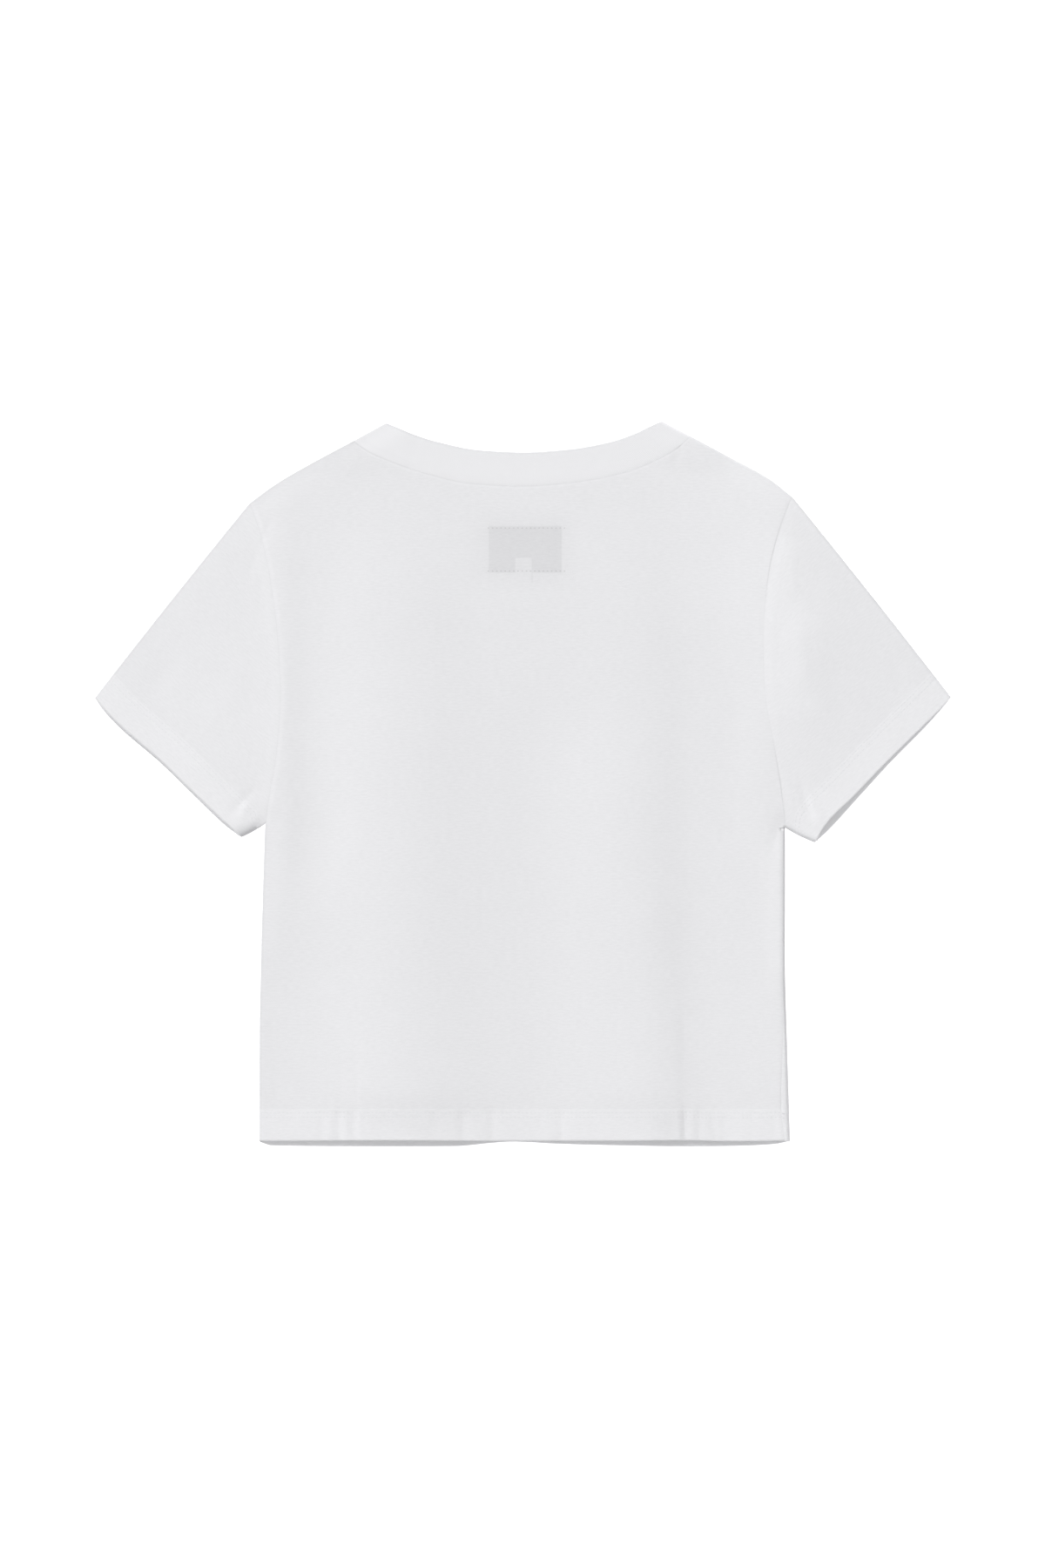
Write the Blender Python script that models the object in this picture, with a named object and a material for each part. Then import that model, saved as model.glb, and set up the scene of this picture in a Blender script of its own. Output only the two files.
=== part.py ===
"""Crop top lying flat on its front, back panel up.

Units are metres, +Z is up and +Y points to the neck. The front panel rests on z = 0 and the
back panel lies on it. Both panels are grids between a hem, two sides and a top edge; sleeves
and neck band are tubes made through flattened rings. Every outer skin follows the same crown
height, so pieces that are sewn together meet edge to edge.
"""
import math

import bmesh
import bpy
import numpy as np
from mathutils import Vector
from mathutils.bvhtree import BVHTree

# ---- cloth -----------------------------------------------------------------------------
JERSEY_WALL = 0.0011          # single jersey of panels and sleeves
HEM_WALL = 0.0018             # jersey turned up at hem and cuffs
BAND_WALL = 0.0016            # rib folded double
LABEL_WALL = 0.00105          # label and size tab
SEAM_GAP = 0.0003             # clear space between two sewn pieces
HEM_DEPTH = 0.0220            # turn-up at hem and cuffs
HEM_STEP = 0.0010             # length over which the wall grows into the turn-up

# ---- how the cloth lies ----------------------------------------------------------------
FOLD_TOP = 0.0042             # height of the stack along folded edges
FOLD_REACH = 0.0026           # how far a folded edge rounds over
LOFT = 0.0007                 # how much higher the middle lies than the folded edges
LOFT_REACH = 0.030            # distance from an edge over which the middle rises
HEM_LOFT_LEFT = 0.35          # share of loft and folds that is left at the hem
ROLL_STEPS = (0.0, 0.134, 0.5, 1.0)   # points round a folded edge, as shares of its reach
THICKEN_REACH = 0.0039        # distance from a folded edge over which a doubled wall sets in

# Upper outline, from the armhole tip over the shoulder to the neck point.
SHOULDER_COLUMNS = ("name", "left_x", "left_y", "right_x", "right_y")
SHOULDER = (
    ("armhole_tip", -0.1957, 0.2006, 0.1925, 0.2055),
    ("outer", -0.1772, 0.2141, 0.1747, 0.2191),
    ("middle", -0.1517, 0.2290, 0.1473, 0.2340),
    ("neck_corner", -0.1215, 0.2452, 0.1200, 0.2487),
    ("neck_point", -0.0981, 0.2580, 0.0995, 0.2594),
)

# Sections up the body: side fold, then armhole seam up to its tip.
BODY_COLUMNS = ("name", "left_x", "left_y", "right_x", "right_y")
BODY = (
    ("hem", -0.1884, -0.2546, 0.1912, -0.2546),
    ("low", -0.1884, -0.1870, 0.1890, -0.1870),
    ("middle", -0.1872, -0.1247, 0.1874, -0.1247),
    ("upper", -0.1856, -0.0680, 0.1876, -0.0680),
    ("armpit", -0.1843, -0.0285, 0.1875, -0.0315),
    ("armhole_1", -0.1805, -0.0030, 0.1846, -0.0030),
    ("armhole_2", -0.1764, 0.0228, 0.1800, 0.0250),
    ("armhole_3", -0.1738, 0.0660, 0.1728, 0.0700),
    ("armhole_4", -0.1750, 0.1050, 0.1718, 0.1030),
    ("armhole_5", -0.1791, 0.1456, 0.1750, 0.1450),
    ("armhole_6", -0.1872, 0.1760, 0.1822, 0.1780),
    ("armhole_tip", -0.1957, 0.2006, 0.1925, 0.2055),
)
ARMPIT_ROW = 4
FRONT_ARMHOLE_SCOOP = 0.006   # how much deeper the front armhole is cut
TIP_ROLL = 1.2                # the shoulder slopes, so its rounding takes more of the armhole's length

# Lower edges. The front hem shows below the back hem in two shallow lobes.
HEM_COLUMNS = ("x", "back_y", "front_y")
HEM = (
    (-0.1884, -0.2546, -0.2556),
    (-0.1790, -0.2545, -0.2584),
    (-0.0900, -0.2540, -0.2590),
    (-0.0480, -0.2544, -0.2588),
    (-0.0220, -0.2546, -0.2566),
    (-0.0080, -0.2546, -0.2557),
    (0.0250, -0.2546, -0.2572),
    (0.0650, -0.2546, -0.2583),
    (0.1180, -0.2547, -0.2593),
    (0.1500, -0.2554, -0.2590),
    (0.1800, -0.2550, -0.2575),
    (0.1912, -0.2546, -0.2553),
)

# The front panel wraps round the right side fold up to the side seam.
WRAP_COLUMNS = ("y", "inset")
RIGHT_WRAP = (
    (-0.2590, 0.0035),
    (-0.2320, 0.0060),
    (-0.2000, 0.0044),
    (-0.1745, 0.0030),
    (-0.0800, 0.0028),
    (-0.0400, 0.0028),
)
WRAP_STEPS = (0.05, 0.30, 1.0)        # points across the wrapped strip, as shares of its inset

# Neck: share of the way across, then seam and free edge of the band on both layers.
NECK_COLUMNS = ("across", "back_seam_y", "back_edge_y", "front_seam_y", "front_edge_y")
NECK = (
    (0.00, 0.2452, 0.2580, 0.2452, 0.2580),
    (0.04, 0.2383, 0.2545, 0.2285, 0.2400),
    (0.10, 0.2315, 0.2492, 0.2020, 0.2154),
    (0.20, 0.2230, 0.2430, 0.1760, 0.1943),
    (0.35, 0.2148, 0.2375, 0.1568, 0.1788),
    (0.50, 0.2129, 0.2362, 0.1500, 0.1735),
    (0.65, 0.2155, 0.2380, 0.1568, 0.1788),
    (0.80, 0.2223, 0.2430, 0.1762, 0.1945),
    (0.90, 0.2315, 0.2495, 0.2035, 0.2168),
    (0.96, 0.2400, 0.2555, 0.2320, 0.2425),
    (1.00, 0.2487, 0.2594, 0.2487, 0.2594),
)

# Cuffs, from the folded top edge of the sleeve to its underarm corner.
CUFF_COLUMNS = ("across", "upper_x", "upper_y", "lower_x", "lower_y")
CUFF_LEFT = (
    (0.00, -0.3061, 0.0618, -0.3061, 0.0618),
    (0.04, -0.3014, 0.0560, -0.3018, 0.0553),
    (0.50, -0.2556, 0.0146, -0.2567, 0.0127),
    (0.72, -0.2336, -0.0060, -0.2350, -0.0086),
    (0.93, -0.2108, -0.0275, -0.2112, -0.0308),
    (1.00, -0.2010, -0.0376, -0.2010, -0.0376),
)
CUFF_RIGHT = (
    (0.00, 0.3061, 0.0621, 0.3061, 0.0621),
    (0.04, 0.3010, 0.0568, 0.3014, 0.0560),
    (0.50, 0.2572, 0.0134, 0.2592, 0.0116),
    (0.72, 0.2366, -0.0080, 0.2387, -0.0109),
    (0.93, 0.2150, -0.0303, 0.2172, -0.0342),
    (1.00, 0.2085, -0.0420, 0.2085, -0.0420),
)

# Broad folds of the upper layer: a crest (or trough, where height is negative) runs from its
# top point to its low point and falls away over its reach to the left and to the right.
FOLD_COLUMNS = ("name", "top_x", "top_y", "low_x", "low_y", "left_reach", "right_reach", "height")
FOLDS = (
    ("left_panel_crest", -0.102, 0.170, -0.084, -0.254, 0.058, 0.095, 0.0012),
    ("right_panel_crest", 0.070, 0.120, 0.092, -0.254, 0.075, 0.046, 0.0011),
    ("left_side_trough", -0.150, 0.190, -0.160, -0.120, 0.024, 0.026, -0.0006),
    ("centre_trough", 0.006, 0.090, 0.012, -0.254, 0.060, 0.050, -0.0005),
    ("right_side_trough", 0.132, 0.080, 0.130, -0.254, 0.040, 0.036, -0.0006),
    ("right_armhole_crest", 0.168, 0.190, 0.174, -0.100, 0.026, 0.020, 0.0005),
    ("label_rise", 0.000, 0.215, 0.001, 0.105, 0.050, 0.050, 0.0013),
    ("left_sleeve_crest", -0.215, 0.120, -0.212, -0.010, 0.034, 0.030, 0.0005),
    ("right_sleeve_crest", 0.208, 0.130, 0.212, -0.010, 0.028, 0.040, 0.0006),
)
FOLD_END = 0.25               # share of its length over which a fold fades in and out
HEM_FOLDS_BELOW = -0.25       # a fold whose low point lies below this runs out through the hem

# ---- label and size tab ----------------------------------------------------------------
LABEL_LEFT = -0.0244
LABEL_RIGHT = 0.0278
LABEL_LOW = 0.1508
LABEL_TOP = 0.1840
TAB_LEFT = -0.0054
TAB_RIGHT = 0.0062
TAB_LOW = 0.1434
TAB_TOP = 0.1614
TAB_EASE = 0.012              # how far round the tab the label eases away from the back
TAB_MARGIN = 0.0024           # the label keeps its full distance this far round the tab
TAB_ROOM = LABEL_WALL + 1.6 * SEAM_GAP   # extra distance of the label over the tab

# ---- how finely the pieces are divided -------------------------------------------------
SHOULDER_CELLS = 3
NECK_CELLS = 14
SIDE_CELLS = 11
ARMHOLE_CELLS = 10
SLEEVE_CELLS = 7
SLEEVE_LEAST = 0.16           # least share of a sleeve's length that lies above its turn-up
BAND_CELLS = 4
LABEL_CELLS = (12, 8)
TAB_CELLS = (4, 6)
OUTLINE_STEPS = 160           # straight steps along each folded outline
OUTLINE_SLACK = 0.00002       # a point this close to a folded outline lies on it
CORNER_REACH = 0.006          # corners of the outline turn gradually over this length
SLOPE_STEP = 0.0005           # distance over which slopes are measured

WHITE_JERSEY = (0.80, 0.80, 0.81, 1.0)
WHITE_RIB = (0.82, 0.82, 0.83, 1.0)
GREY_LABEL = (0.42, 0.42, 0.43, 1.0)
WHITE_TAB = (0.78, 0.78, 0.78, 1.0)


def column(table, names, name):
    """One named column of a table as an array."""
    return np.array([row[names.index(name)] for row in table], dtype=float)


def smooth(at, knots, values):
    """Smooth curve through the knots that never overshoots them."""
    step = np.diff(knots)
    rise = np.diff(values) / step
    slope = np.zeros(len(knots))
    slope[0] = rise[0]
    slope[-1] = rise[-1]
    for k in range(1, len(knots) - 1):
        if rise[k - 1] * rise[k] > 0.0:
            before = 2.0 * step[k] + step[k - 1]
            after = step[k] + 2.0 * step[k - 1]
            slope[k] = (before + after) / (before / rise[k - 1] + after / rise[k])
    at = np.clip(at, knots[0], knots[-1])
    k = int(np.clip(np.searchsorted(knots, at, side="right") - 1, 0, len(step) - 1))
    u = (at - knots[k]) / step[k]
    start = (1.0 + 2.0 * u) * (1.0 - u) ** 2 * values[k] + u * (1.0 - u) ** 2 * step[k] * slope[k]
    end = u * u * (3.0 - 2.0 * u) * values[k + 1] + u * u * (u - 1.0) * step[k] * slope[k + 1]
    return float(start + end)


def ease(share):
    """Soft step from 0 to 1."""
    share = min(max(share, 0.0), 1.0)
    return share * share * (3.0 - 2.0 * share)


def lerp(start, end, share):
    return start + (end - start) * share


# ---- outlines in plan ------------------------------------------------------------------
def curve_points(table, names, side, count):
    """Points along a table's left or right outline, evenly spread over its chords."""
    xs = column(table, names, side + "_x")
    ys = column(table, names, side + "_y")
    knots = np.concatenate(([0.0], np.cumsum(np.hypot(np.diff(xs), np.diff(ys)))))
    return [np.array((smooth(s, knots, xs), smooth(s, knots, ys)))
            for s in np.linspace(0.0, knots[-1], count)]


BODY_KNOTS = np.concatenate(([0.0], np.cumsum(np.hypot(
    np.diff(column(BODY, BODY_COLUMNS, "left_x")), np.diff(column(BODY, BODY_COLUMNS, "left_y"))))))
ARMPIT_AT = BODY_KNOTS[ARMPIT_ROW]
TIP_AT = BODY_KNOTS[-1]


def body_edge(at, side, layer="back"):
    """Side fold and armhole seam: a point at a given length up from the hem."""
    x = smooth(at, BODY_KNOTS, column(BODY, BODY_COLUMNS, side + "_x"))
    y = smooth(at, BODY_KNOTS, column(BODY, BODY_COLUMNS, side + "_y"))
    if layer == "front" and at > ARMPIT_AT:
        share = (at - ARMPIT_AT) / (TIP_AT - ARMPIT_AT)
        scoop = FRONT_ARMHOLE_SCOOP * math.sin(math.pi * share) ** 2
        x += scoop if side == "left" else -scoop
    return np.array((x, y))


def shoulder_y(x, side):
    xs = column(SHOULDER, SHOULDER_COLUMNS, side + "_x")
    ys = column(SHOULDER, SHOULDER_COLUMNS, side + "_y")
    order = np.argsort(xs)
    return smooth(x, xs[order], ys[order])


_, CORNER_LEFT, _, CORNER_RIGHT, _ = SHOULDER[3]
_, POINT_LEFT, _, POINT_RIGHT, _ = SHOULDER[4]


def neck_point(across, layer, line):
    """Point of the band's seam or free edge, a share of the way across the neck."""
    left, right = (CORNER_LEFT, CORNER_RIGHT) if line == "seam" else (POINT_LEFT, POINT_RIGHT)
    shares = column(NECK, NECK_COLUMNS, "across")
    ys = column(NECK, NECK_COLUMNS, layer + "_" + line + "_y")
    return np.array((lerp(left, right, across), smooth(across, shares, ys)))


def cuff_point(across, cuff, layer):
    knots = column(cuff, CUFF_COLUMNS, "across")
    return np.array((smooth(across, knots, column(cuff, CUFF_COLUMNS, layer + "_x")),
                     smooth(across, knots, column(cuff, CUFF_COLUMNS, layer + "_y"))))


def cuff_table(side):
    return CUFF_LEFT if side == "left" else CUFF_RIGHT


def sleeve_fold(share, side, which):
    """Folded top edge or underarm edge of a sleeve, from armhole to cuff."""
    start = body_edge(TIP_AT if which == "top" else ARMPIT_AT, side)
    end = cuff_point(0.0 if which == "top" else 1.0, cuff_table(side), "upper")
    return lerp(start, end, share)


def folded_outlines():
    """All folded edges, each running so that the cloth lies on its left."""
    lines = []
    for side in ("left", "right"):
        flank = [body_edge(s, side) for s in np.linspace(0.0, ARMPIT_AT, OUTLINE_STEPS)]
        flank.insert(0, flank[0] - np.array((0.0, HEM_DEPTH)))
        underarm = [sleeve_fold(s, side, "under") for s in np.linspace(0.0, 1.0, OUTLINE_STEPS)]
        sleeve = [sleeve_fold(s, side, "top") for s in np.linspace(1.0, 0.0, OUTLINE_STEPS)]
        shoulder = curve_points(SHOULDER, SHOULDER_COLUMNS, side, OUTLINE_STEPS)
        for line in (flank + underarm[1:], sleeve + shoulder[1:]):
            lines.append(np.array(line if side == "right" else line[::-1]))
    return lines


def outline_segments():
    """Start, run and gradually turning outward direction of every step of the outlines."""
    starts = []
    runs = []
    outs = []
    for line in folded_outlines():
        run = np.diff(line, axis=0)
        length = np.hypot(run[:, 0], run[:, 1])
        middle = np.cumsum(length) - 0.5 * length
        near = np.abs(middle[:, None] - middle[None, :]) < CORNER_REACH
        turned = near @ np.stack((run[:, 1], -run[:, 0]), axis=1)
        starts.append(line[:-1])
        runs.append(run)
        outs.append(turned / np.hypot(turned[:, 0], turned[:, 1])[:, None])
    return np.concatenate(starts), np.concatenate(runs), np.concatenate(outs)


SEGMENT_START, SEGMENT_RUN, SEGMENT_OUT = outline_segments()
SEGMENT_SQUARE = (SEGMENT_RUN ** 2).sum(axis=1)


def edge_distance(x, y):
    """Distance to the nearest folded outline, and the direction that points out over it."""
    point = np.array((x, y))
    share = ((point - SEGMENT_START) * SEGMENT_RUN).sum(axis=1) / SEGMENT_SQUARE
    share = np.clip(share, 0.0, 1.0)
    away = SEGMENT_START + SEGMENT_RUN * share[:, None] - point
    gap = np.hypot(away[:, 0], away[:, 1])
    nearest = int(np.argmin(gap))
    return max(gap[nearest] - OUTLINE_SLACK, 0.0), SEGMENT_OUT[nearest]


# ---- heights ---------------------------------------------------------------------------
def fold_height(x, y):
    """Sum of the broad folds at a point."""
    total = 0.0
    for _, top_x, top_y, low_x, low_y, left_reach, right_reach, height in FOLDS:
        down = (top_y - y) / (top_y - low_y)
        ends = ease(down / FOLD_END)
        if low_y > HEM_FOLDS_BELOW:
            ends *= ease((1.0 - down) / FOLD_END)
        off = x - lerp(top_x, low_x, min(down, 1.0))
        reach = left_reach if off < 0.0 else right_reach
        if abs(off) < reach:
            total += height * ends * math.cos(0.5 * math.pi * off / reach) ** 2
    return total


def crown(x, y):
    """Height of the upper layer's outer skin, before its folded edges round down."""
    distance, _ = edge_distance(x, y)
    above_hem = ease((y - BODY[0][2]) / (2.0 * HEM_DEPTH))
    share = lerp(HEM_LOFT_LEFT, 1.0, above_hem)
    return FOLD_TOP + (LOFT + fold_height(x, y)) * share * ease(distance / LOFT_REACH)


def skin(x, y, layer, seam_height):
    """Outer skin of the upper or lower layer: point and outward normal."""
    distance, out = edge_distance(x, y)
    turn = 1.0 - min(distance / FOLD_REACH, 1.0)
    level = math.sqrt(1.0 - turn * turn)
    if layer == "lower":
        normal = Vector((out[0] * seam_height * turn, out[1] * seam_height * turn, -FOLD_REACH * level))
        return Vector((x, y, seam_height * (1.0 - level))), normal.normalized()
    height = crown(x, y)
    slope_x = (crown(x + SLOPE_STEP, y) - crown(x - SLOPE_STEP, y)) / (2.0 * SLOPE_STEP)
    slope_y = (crown(x, y + SLOPE_STEP) - crown(x, y - SLOPE_STEP)) / (2.0 * SLOPE_STEP)
    rise = height - seam_height
    normal = Vector((out[0] * rise * turn - slope_x * FOLD_REACH * level,
                     out[1] * rise * turn - slope_y * FOLD_REACH * level,
                     FOLD_REACH * level))
    return Vector((x, y, seam_height + rise * level)), normal.normalized()


def wall_at(x, y, wall):
    """Wall of a doubled piece, eased to a single wall where it folds round an edge."""
    distance, _ = edge_distance(x, y)
    return lerp(JERSEY_WALL, wall, ease(distance / THICKEN_REACH))


# ---- solids ----------------------------------------------------------------------------
def cloth_material(name, colour, roughness):
    material = bpy.data.materials.new(name)
    material.use_nodes = True
    shader = material.node_tree.nodes["Principled BSDF"]
    shader.inputs["Base Color"].default_value = colour
    shader.inputs["Roughness"].default_value = roughness
    shader.inputs["Metallic"].default_value = 0.0
    return material


def solid(name, outer, inner, faces, material):
    """Close a sheet: outer skin, inner skin and a rim along every free edge."""
    mesh = bpy.data.meshes.new(name)
    work = bmesh.new()
    outer_verts = [work.verts.new(p) for p in outer]
    inner_verts = [work.verts.new(p) for p in inner]
    uses = {}
    for face in faces:
        work.faces.new([outer_verts[k] for k in face])
        work.faces.new([inner_verts[k] for k in reversed(face)])
        for a, b in zip(face, face[1:] + face[:1]):
            uses.setdefault((min(a, b), max(a, b)), []).append((a, b))
    for directions in uses.values():
        if len(directions) == 1:
            a, b = directions[0]
            work.faces.new((outer_verts[b], outer_verts[a], inner_verts[a], inner_verts[b]))
    bmesh.ops.triangulate(work, faces=work.faces[:])
    bmesh.ops.recalc_face_normals(work, faces=work.faces[:])
    work.to_mesh(mesh)
    work.free()
    mesh.materials.append(material)
    item = bpy.data.objects.new(name, mesh)
    bpy.context.scene.collection.objects.link(item)
    return item


def sheet(name, points, walls, faces, material):
    """Solid from skin points with normals: the inner skin lies one wall inside."""
    outer = [point for point, _ in points]
    inner = [point - normal * wall for (point, normal), wall in zip(points, walls)]
    return solid(name, outer, inner, faces, material)


# ---- body panels -----------------------------------------------------------------------
def body_rows():
    """Lengths up from the hem at which the panels have a row."""
    rows = [0.0, 0.5 * HEM_DEPTH, HEM_DEPTH - 0.5 * HEM_STEP, HEM_DEPTH + 0.5 * HEM_STEP]
    rows += list(np.linspace(rows[-1], ARMPIT_AT, SIDE_CELLS + 1)[1:])
    return rows + armhole_stations()[1:]


def armhole_stations():
    """Lengths up from the hem of the rows along the armhole, armpit and tip rounded."""
    low = [ARMPIT_AT + FOLD_REACH * s for s in ROLL_STEPS]
    high = [TIP_AT - TIP_ROLL * FOLD_REACH * s for s in reversed(ROLL_STEPS)]
    return low + list(np.linspace(low[-1], high[0], ARMHOLE_CELLS + 1)[1:-1]) + high


def neck_stations():
    """Shares across the neck, close together where the seam rounds over the shoulder fold."""
    roll = [FOLD_REACH * s / (CORNER_RIGHT - CORNER_LEFT) for s in ROLL_STEPS]
    middle = list(np.linspace(roll[-1], 1.0 - roll[-1], NECK_CELLS + 1)[1:-1])
    return roll + middle + [1.0 - s for s in reversed(roll)]


def body_columns():
    """Shares across the body at which the panels have a column."""
    tip_left = BODY[-1][1]
    width = BODY[-1][3] - tip_left
    corner_left = (CORNER_LEFT - tip_left) / width
    corner_right = (CORNER_RIGHT - tip_left) / width
    roll = [FOLD_REACH * s / width for s in ROLL_STEPS]
    left = roll + list(np.linspace(roll[-1], corner_left, SHOULDER_CELLS + 1)[1:-1])
    right = list(np.linspace(corner_right, 1.0 - roll[-1], SHOULDER_CELLS + 1)[1:-1])
    right += [1.0 - s for s in reversed(roll)]
    neck = [lerp(corner_left, corner_right, s) for s in neck_stations()]
    return left + neck + right, (corner_left, corner_right)


def top_edge_y(column_at, tip_x, layer, corners):
    """Height in plan of a panel's top edge: shoulder, neck seam, shoulder."""
    if column_at < corners[0]:
        return shoulder_y(tip_x, "left")
    if column_at > corners[1]:
        return shoulder_y(tip_x, "right")
    across = (column_at - corners[0]) / (corners[1] - corners[0])
    return neck_point(across, layer, "seam")[1]


def panel_point(column_at, row_at, layer, corners, left, right):
    """Plan position of a panel's grid point: rows follow the hem low down, the top edge high up."""
    halfway = 0.5 * ARMPIT_AT
    hem_x = lerp(HEM[0][0], HEM[-1][0], column_at)
    hem_y = smooth(hem_x, column(HEM, HEM_COLUMNS, "x"), column(HEM, HEM_COLUMNS, layer + "_y"))
    straight_y = lerp(body_edge(0.0, "left")[1], body_edge(0.0, "right")[1], column_at)
    hem_pull = (1.0 - ease(row_at / halfway)) * (hem_y - straight_y)
    tip = lerp(body_edge(TIP_AT, "left"), body_edge(TIP_AT, "right"), column_at)
    share = max(row_at - halfway, 0.0) / (TIP_AT - halfway)
    top_pull = share * share * (top_edge_y(column_at, tip[0], layer, corners) - tip[1])
    return lerp(left, right, column_at) + np.array((0.0, hem_pull + top_pull))


def right_inset(y):
    """How far in from the right fold the side seam lies."""
    return smooth(y, column(RIGHT_WRAP, WRAP_COLUMNS, "y"), column(RIGHT_WRAP, WRAP_COLUMNS, "inset"))


def panel_rows(layer):
    """Plan grid of one panel, its seam edges pulled in by half the seam gap."""
    columns, corners = body_columns()
    half_gap = 0.5 * SEAM_GAP
    rows = []
    for row_at in body_rows():
        left = body_edge(row_at, "left", layer)
        right = body_edge(row_at, "right", layer)
        if row_at >= ARMPIT_AT:
            left = left + np.array((half_gap, 0.0))
            right = right - np.array((half_gap, 0.0))
        elif layer == "back":
            right = right - np.array((right_inset(right[1]) + SEAM_GAP, 0.0))
        rows.append([panel_point(c, row_at, layer, corners, left, right) for c in columns])
    for k, share in enumerate(columns):
        if corners[0] <= share <= corners[1]:
            rows[-1][k] = rows[-1][k] - np.array((0.0, half_gap))
    return rows


def row_wall(row_at):
    """Wall of a panel's row: doubled in the turned-up hem, single above it."""
    return HEM_WALL if row_at < HEM_DEPTH else JERSEY_WALL


def panel(name, material):
    """Back panel as the upper layer, front panel as the lower one."""
    upper = name == "back"
    seam_height = 0.5 * FOLD_TOP + (0.5 if upper else -0.5) * SEAM_GAP
    plan = panel_rows(name)
    count = len(plan[0])
    points = []
    walls = []
    for row, row_at in zip(plan, body_rows()):
        for x, y in row:
            points.append(skin(x, y, "upper" if upper else "lower", seam_height))
            walls.append(wall_at(x, y, row_wall(row_at)))
    faces = [(j * count + i, j * count + i + 1, (j + 1) * count + i + 1, (j + 1) * count + i)
             for j in range(len(plan) - 1) for i in range(count - 1)]
    if not upper:
        add_right_wrap(plan, seam_height, points, walls, faces)
    return sheet(name, points, walls, faces, material)


def add_right_wrap(plan, seam_height, points, walls, faces):
    """Strip of the front panel that goes on round the right fold to the side seam."""
    count = len(plan[0])
    strips = []
    for j, row_at in enumerate(body_rows()):
        strip = [count * (j + 1) - 1]
        if row_at >= ARMPIT_AT:
            strips.append(strip)
            break
        edge_x, y = plan[j][-1]
        for share in WRAP_STEPS:
            x = edge_x - right_inset(y) * share
            strip.append(len(points))
            points.append(skin(x, y, "upper", seam_height))
            walls.append(wall_at(x, y, row_wall(row_at)))
        strips.append(strip)
    armpit = strips.pop()[0]
    for i in range(len(WRAP_STEPS)):
        for low, high in zip(strips, strips[1:]):
            faces.append((low[i], low[i + 1], high[i + 1], high[i]))
        faces.append((strips[-1][i], strips[-1][i + 1], armpit))


# ---- tubes -----------------------------------------------------------------------------
def tube(name, rings, walls, material):
    """Solid tube wall through closed rings of skin points."""
    count = len(rings[0])
    points = [point for ring in rings for point in ring]
    flat_walls = [wall for ring in walls for wall in ring]
    faces = []
    for j in range(len(rings) - 1):
        for i in range(count):
            after = (i + 1) % count
            faces.append((j * count + i, j * count + after, (j + 1) * count + after, (j + 1) * count + i))
    return sheet(name, points, flat_walls, faces, material)


def flattened_ring(upper, lower):
    """Closed ring: along the upper layer, round one fold, back along the lower layer."""
    seam_height = 0.5 * FOLD_TOP
    ring = [skin(x, y, "upper", seam_height) for x, y in upper]
    return ring + [skin(x, y, "lower", seam_height) for x, y in lower[-2:0:-1]]


def ring_walls(upper, lower, wall):
    return [wall_at(x, y, wall) for x, y in list(upper) + list(lower[-2:0:-1])]


def sleeve_plan(side, layer, down, out):
    """Point of one layer of a sleeve: down from fold to underarm, out from armhole to cuff."""
    body_layer = "back" if layer == "upper" else "front"
    cuff = cuff_table(side)
    seam = body_edge(lerp(TIP_AT, ARMPIT_AT, down), side, body_layer)
    hem = cuff_point(down, cuff, layer)
    across = lerp(seam, hem, out)
    along = lerp(sleeve_fold(out, side, "top"), sleeve_fold(out, side, "under"), down)
    corners_in = lerp(body_edge(TIP_AT, side), body_edge(ARMPIT_AT, side), down)
    corners_out = lerp(cuff_point(0.0, cuff, layer), cuff_point(1.0, cuff, layer), down)
    return across + along - lerp(corners_in, corners_out, out)


def sleeve_line(side, layer, down):
    """Points of one layer from armhole seam to cuff, with a step where the turn-up begins."""
    run = sleeve_plan(side, layer, down, 1.0) - sleeve_plan(side, layer, down, 0.0)
    length = float(np.linalg.norm(run))
    turn = max(1.0 - HEM_DEPTH / length, SLEEVE_LEAST)
    step = 0.5 * HEM_STEP / length
    outs = list(np.linspace(0.5 * SEAM_GAP / length, turn - step, SLEEVE_CELLS + 1))
    outs += [turn + step, lerp(turn, 1.0, 0.5), 1.0]
    return [sleeve_plan(side, layer, down, out) for out in outs]


def sleeve(side, material):
    """Short sleeve: rings from the armhole seam to the cuff edge."""
    stations = [(TIP_AT - s) / (TIP_AT - ARMPIT_AT) for s in reversed(armhole_stations())]
    uppers = zip(*[sleeve_line(side, "upper", down) for down in stations])
    lowers = zip(*[sleeve_line(side, "lower", down) for down in stations])
    rings = []
    walls = []
    for k, (upper, lower) in enumerate(zip(uppers, lowers)):
        rings.append(flattened_ring(upper, lower))
        walls.append(ring_walls(upper, lower, HEM_WALL if k > SLEEVE_CELLS else JERSEY_WALL))
    return tube("sleeve_" + side, rings, walls, material)


def band_line(across, layer):
    """Points of one layer of the band from its seam to its free edge."""
    seam = neck_point(across, layer, "seam")
    edge = neck_point(across, layer, "edge")
    first = 0.75 * SEAM_GAP / float(np.linalg.norm(edge - seam))
    return [lerp(seam, edge, share) for share in np.linspace(first, 1.0, BAND_CELLS + 1)]


def neck_band(material):
    """Folded rib band: rings from its seam to its free edge."""
    uppers = zip(*[band_line(across, "back") for across in neck_stations()])
    lowers = zip(*[band_line(across, "front") for across in neck_stations()])
    rings = []
    walls = []
    for upper, lower in zip(uppers, lowers):
        rings.append(flattened_ring(upper, lower))
        walls.append(ring_walls(upper, lower, BAND_WALL))
    return tube("neck_band", rings, walls, material)


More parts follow.
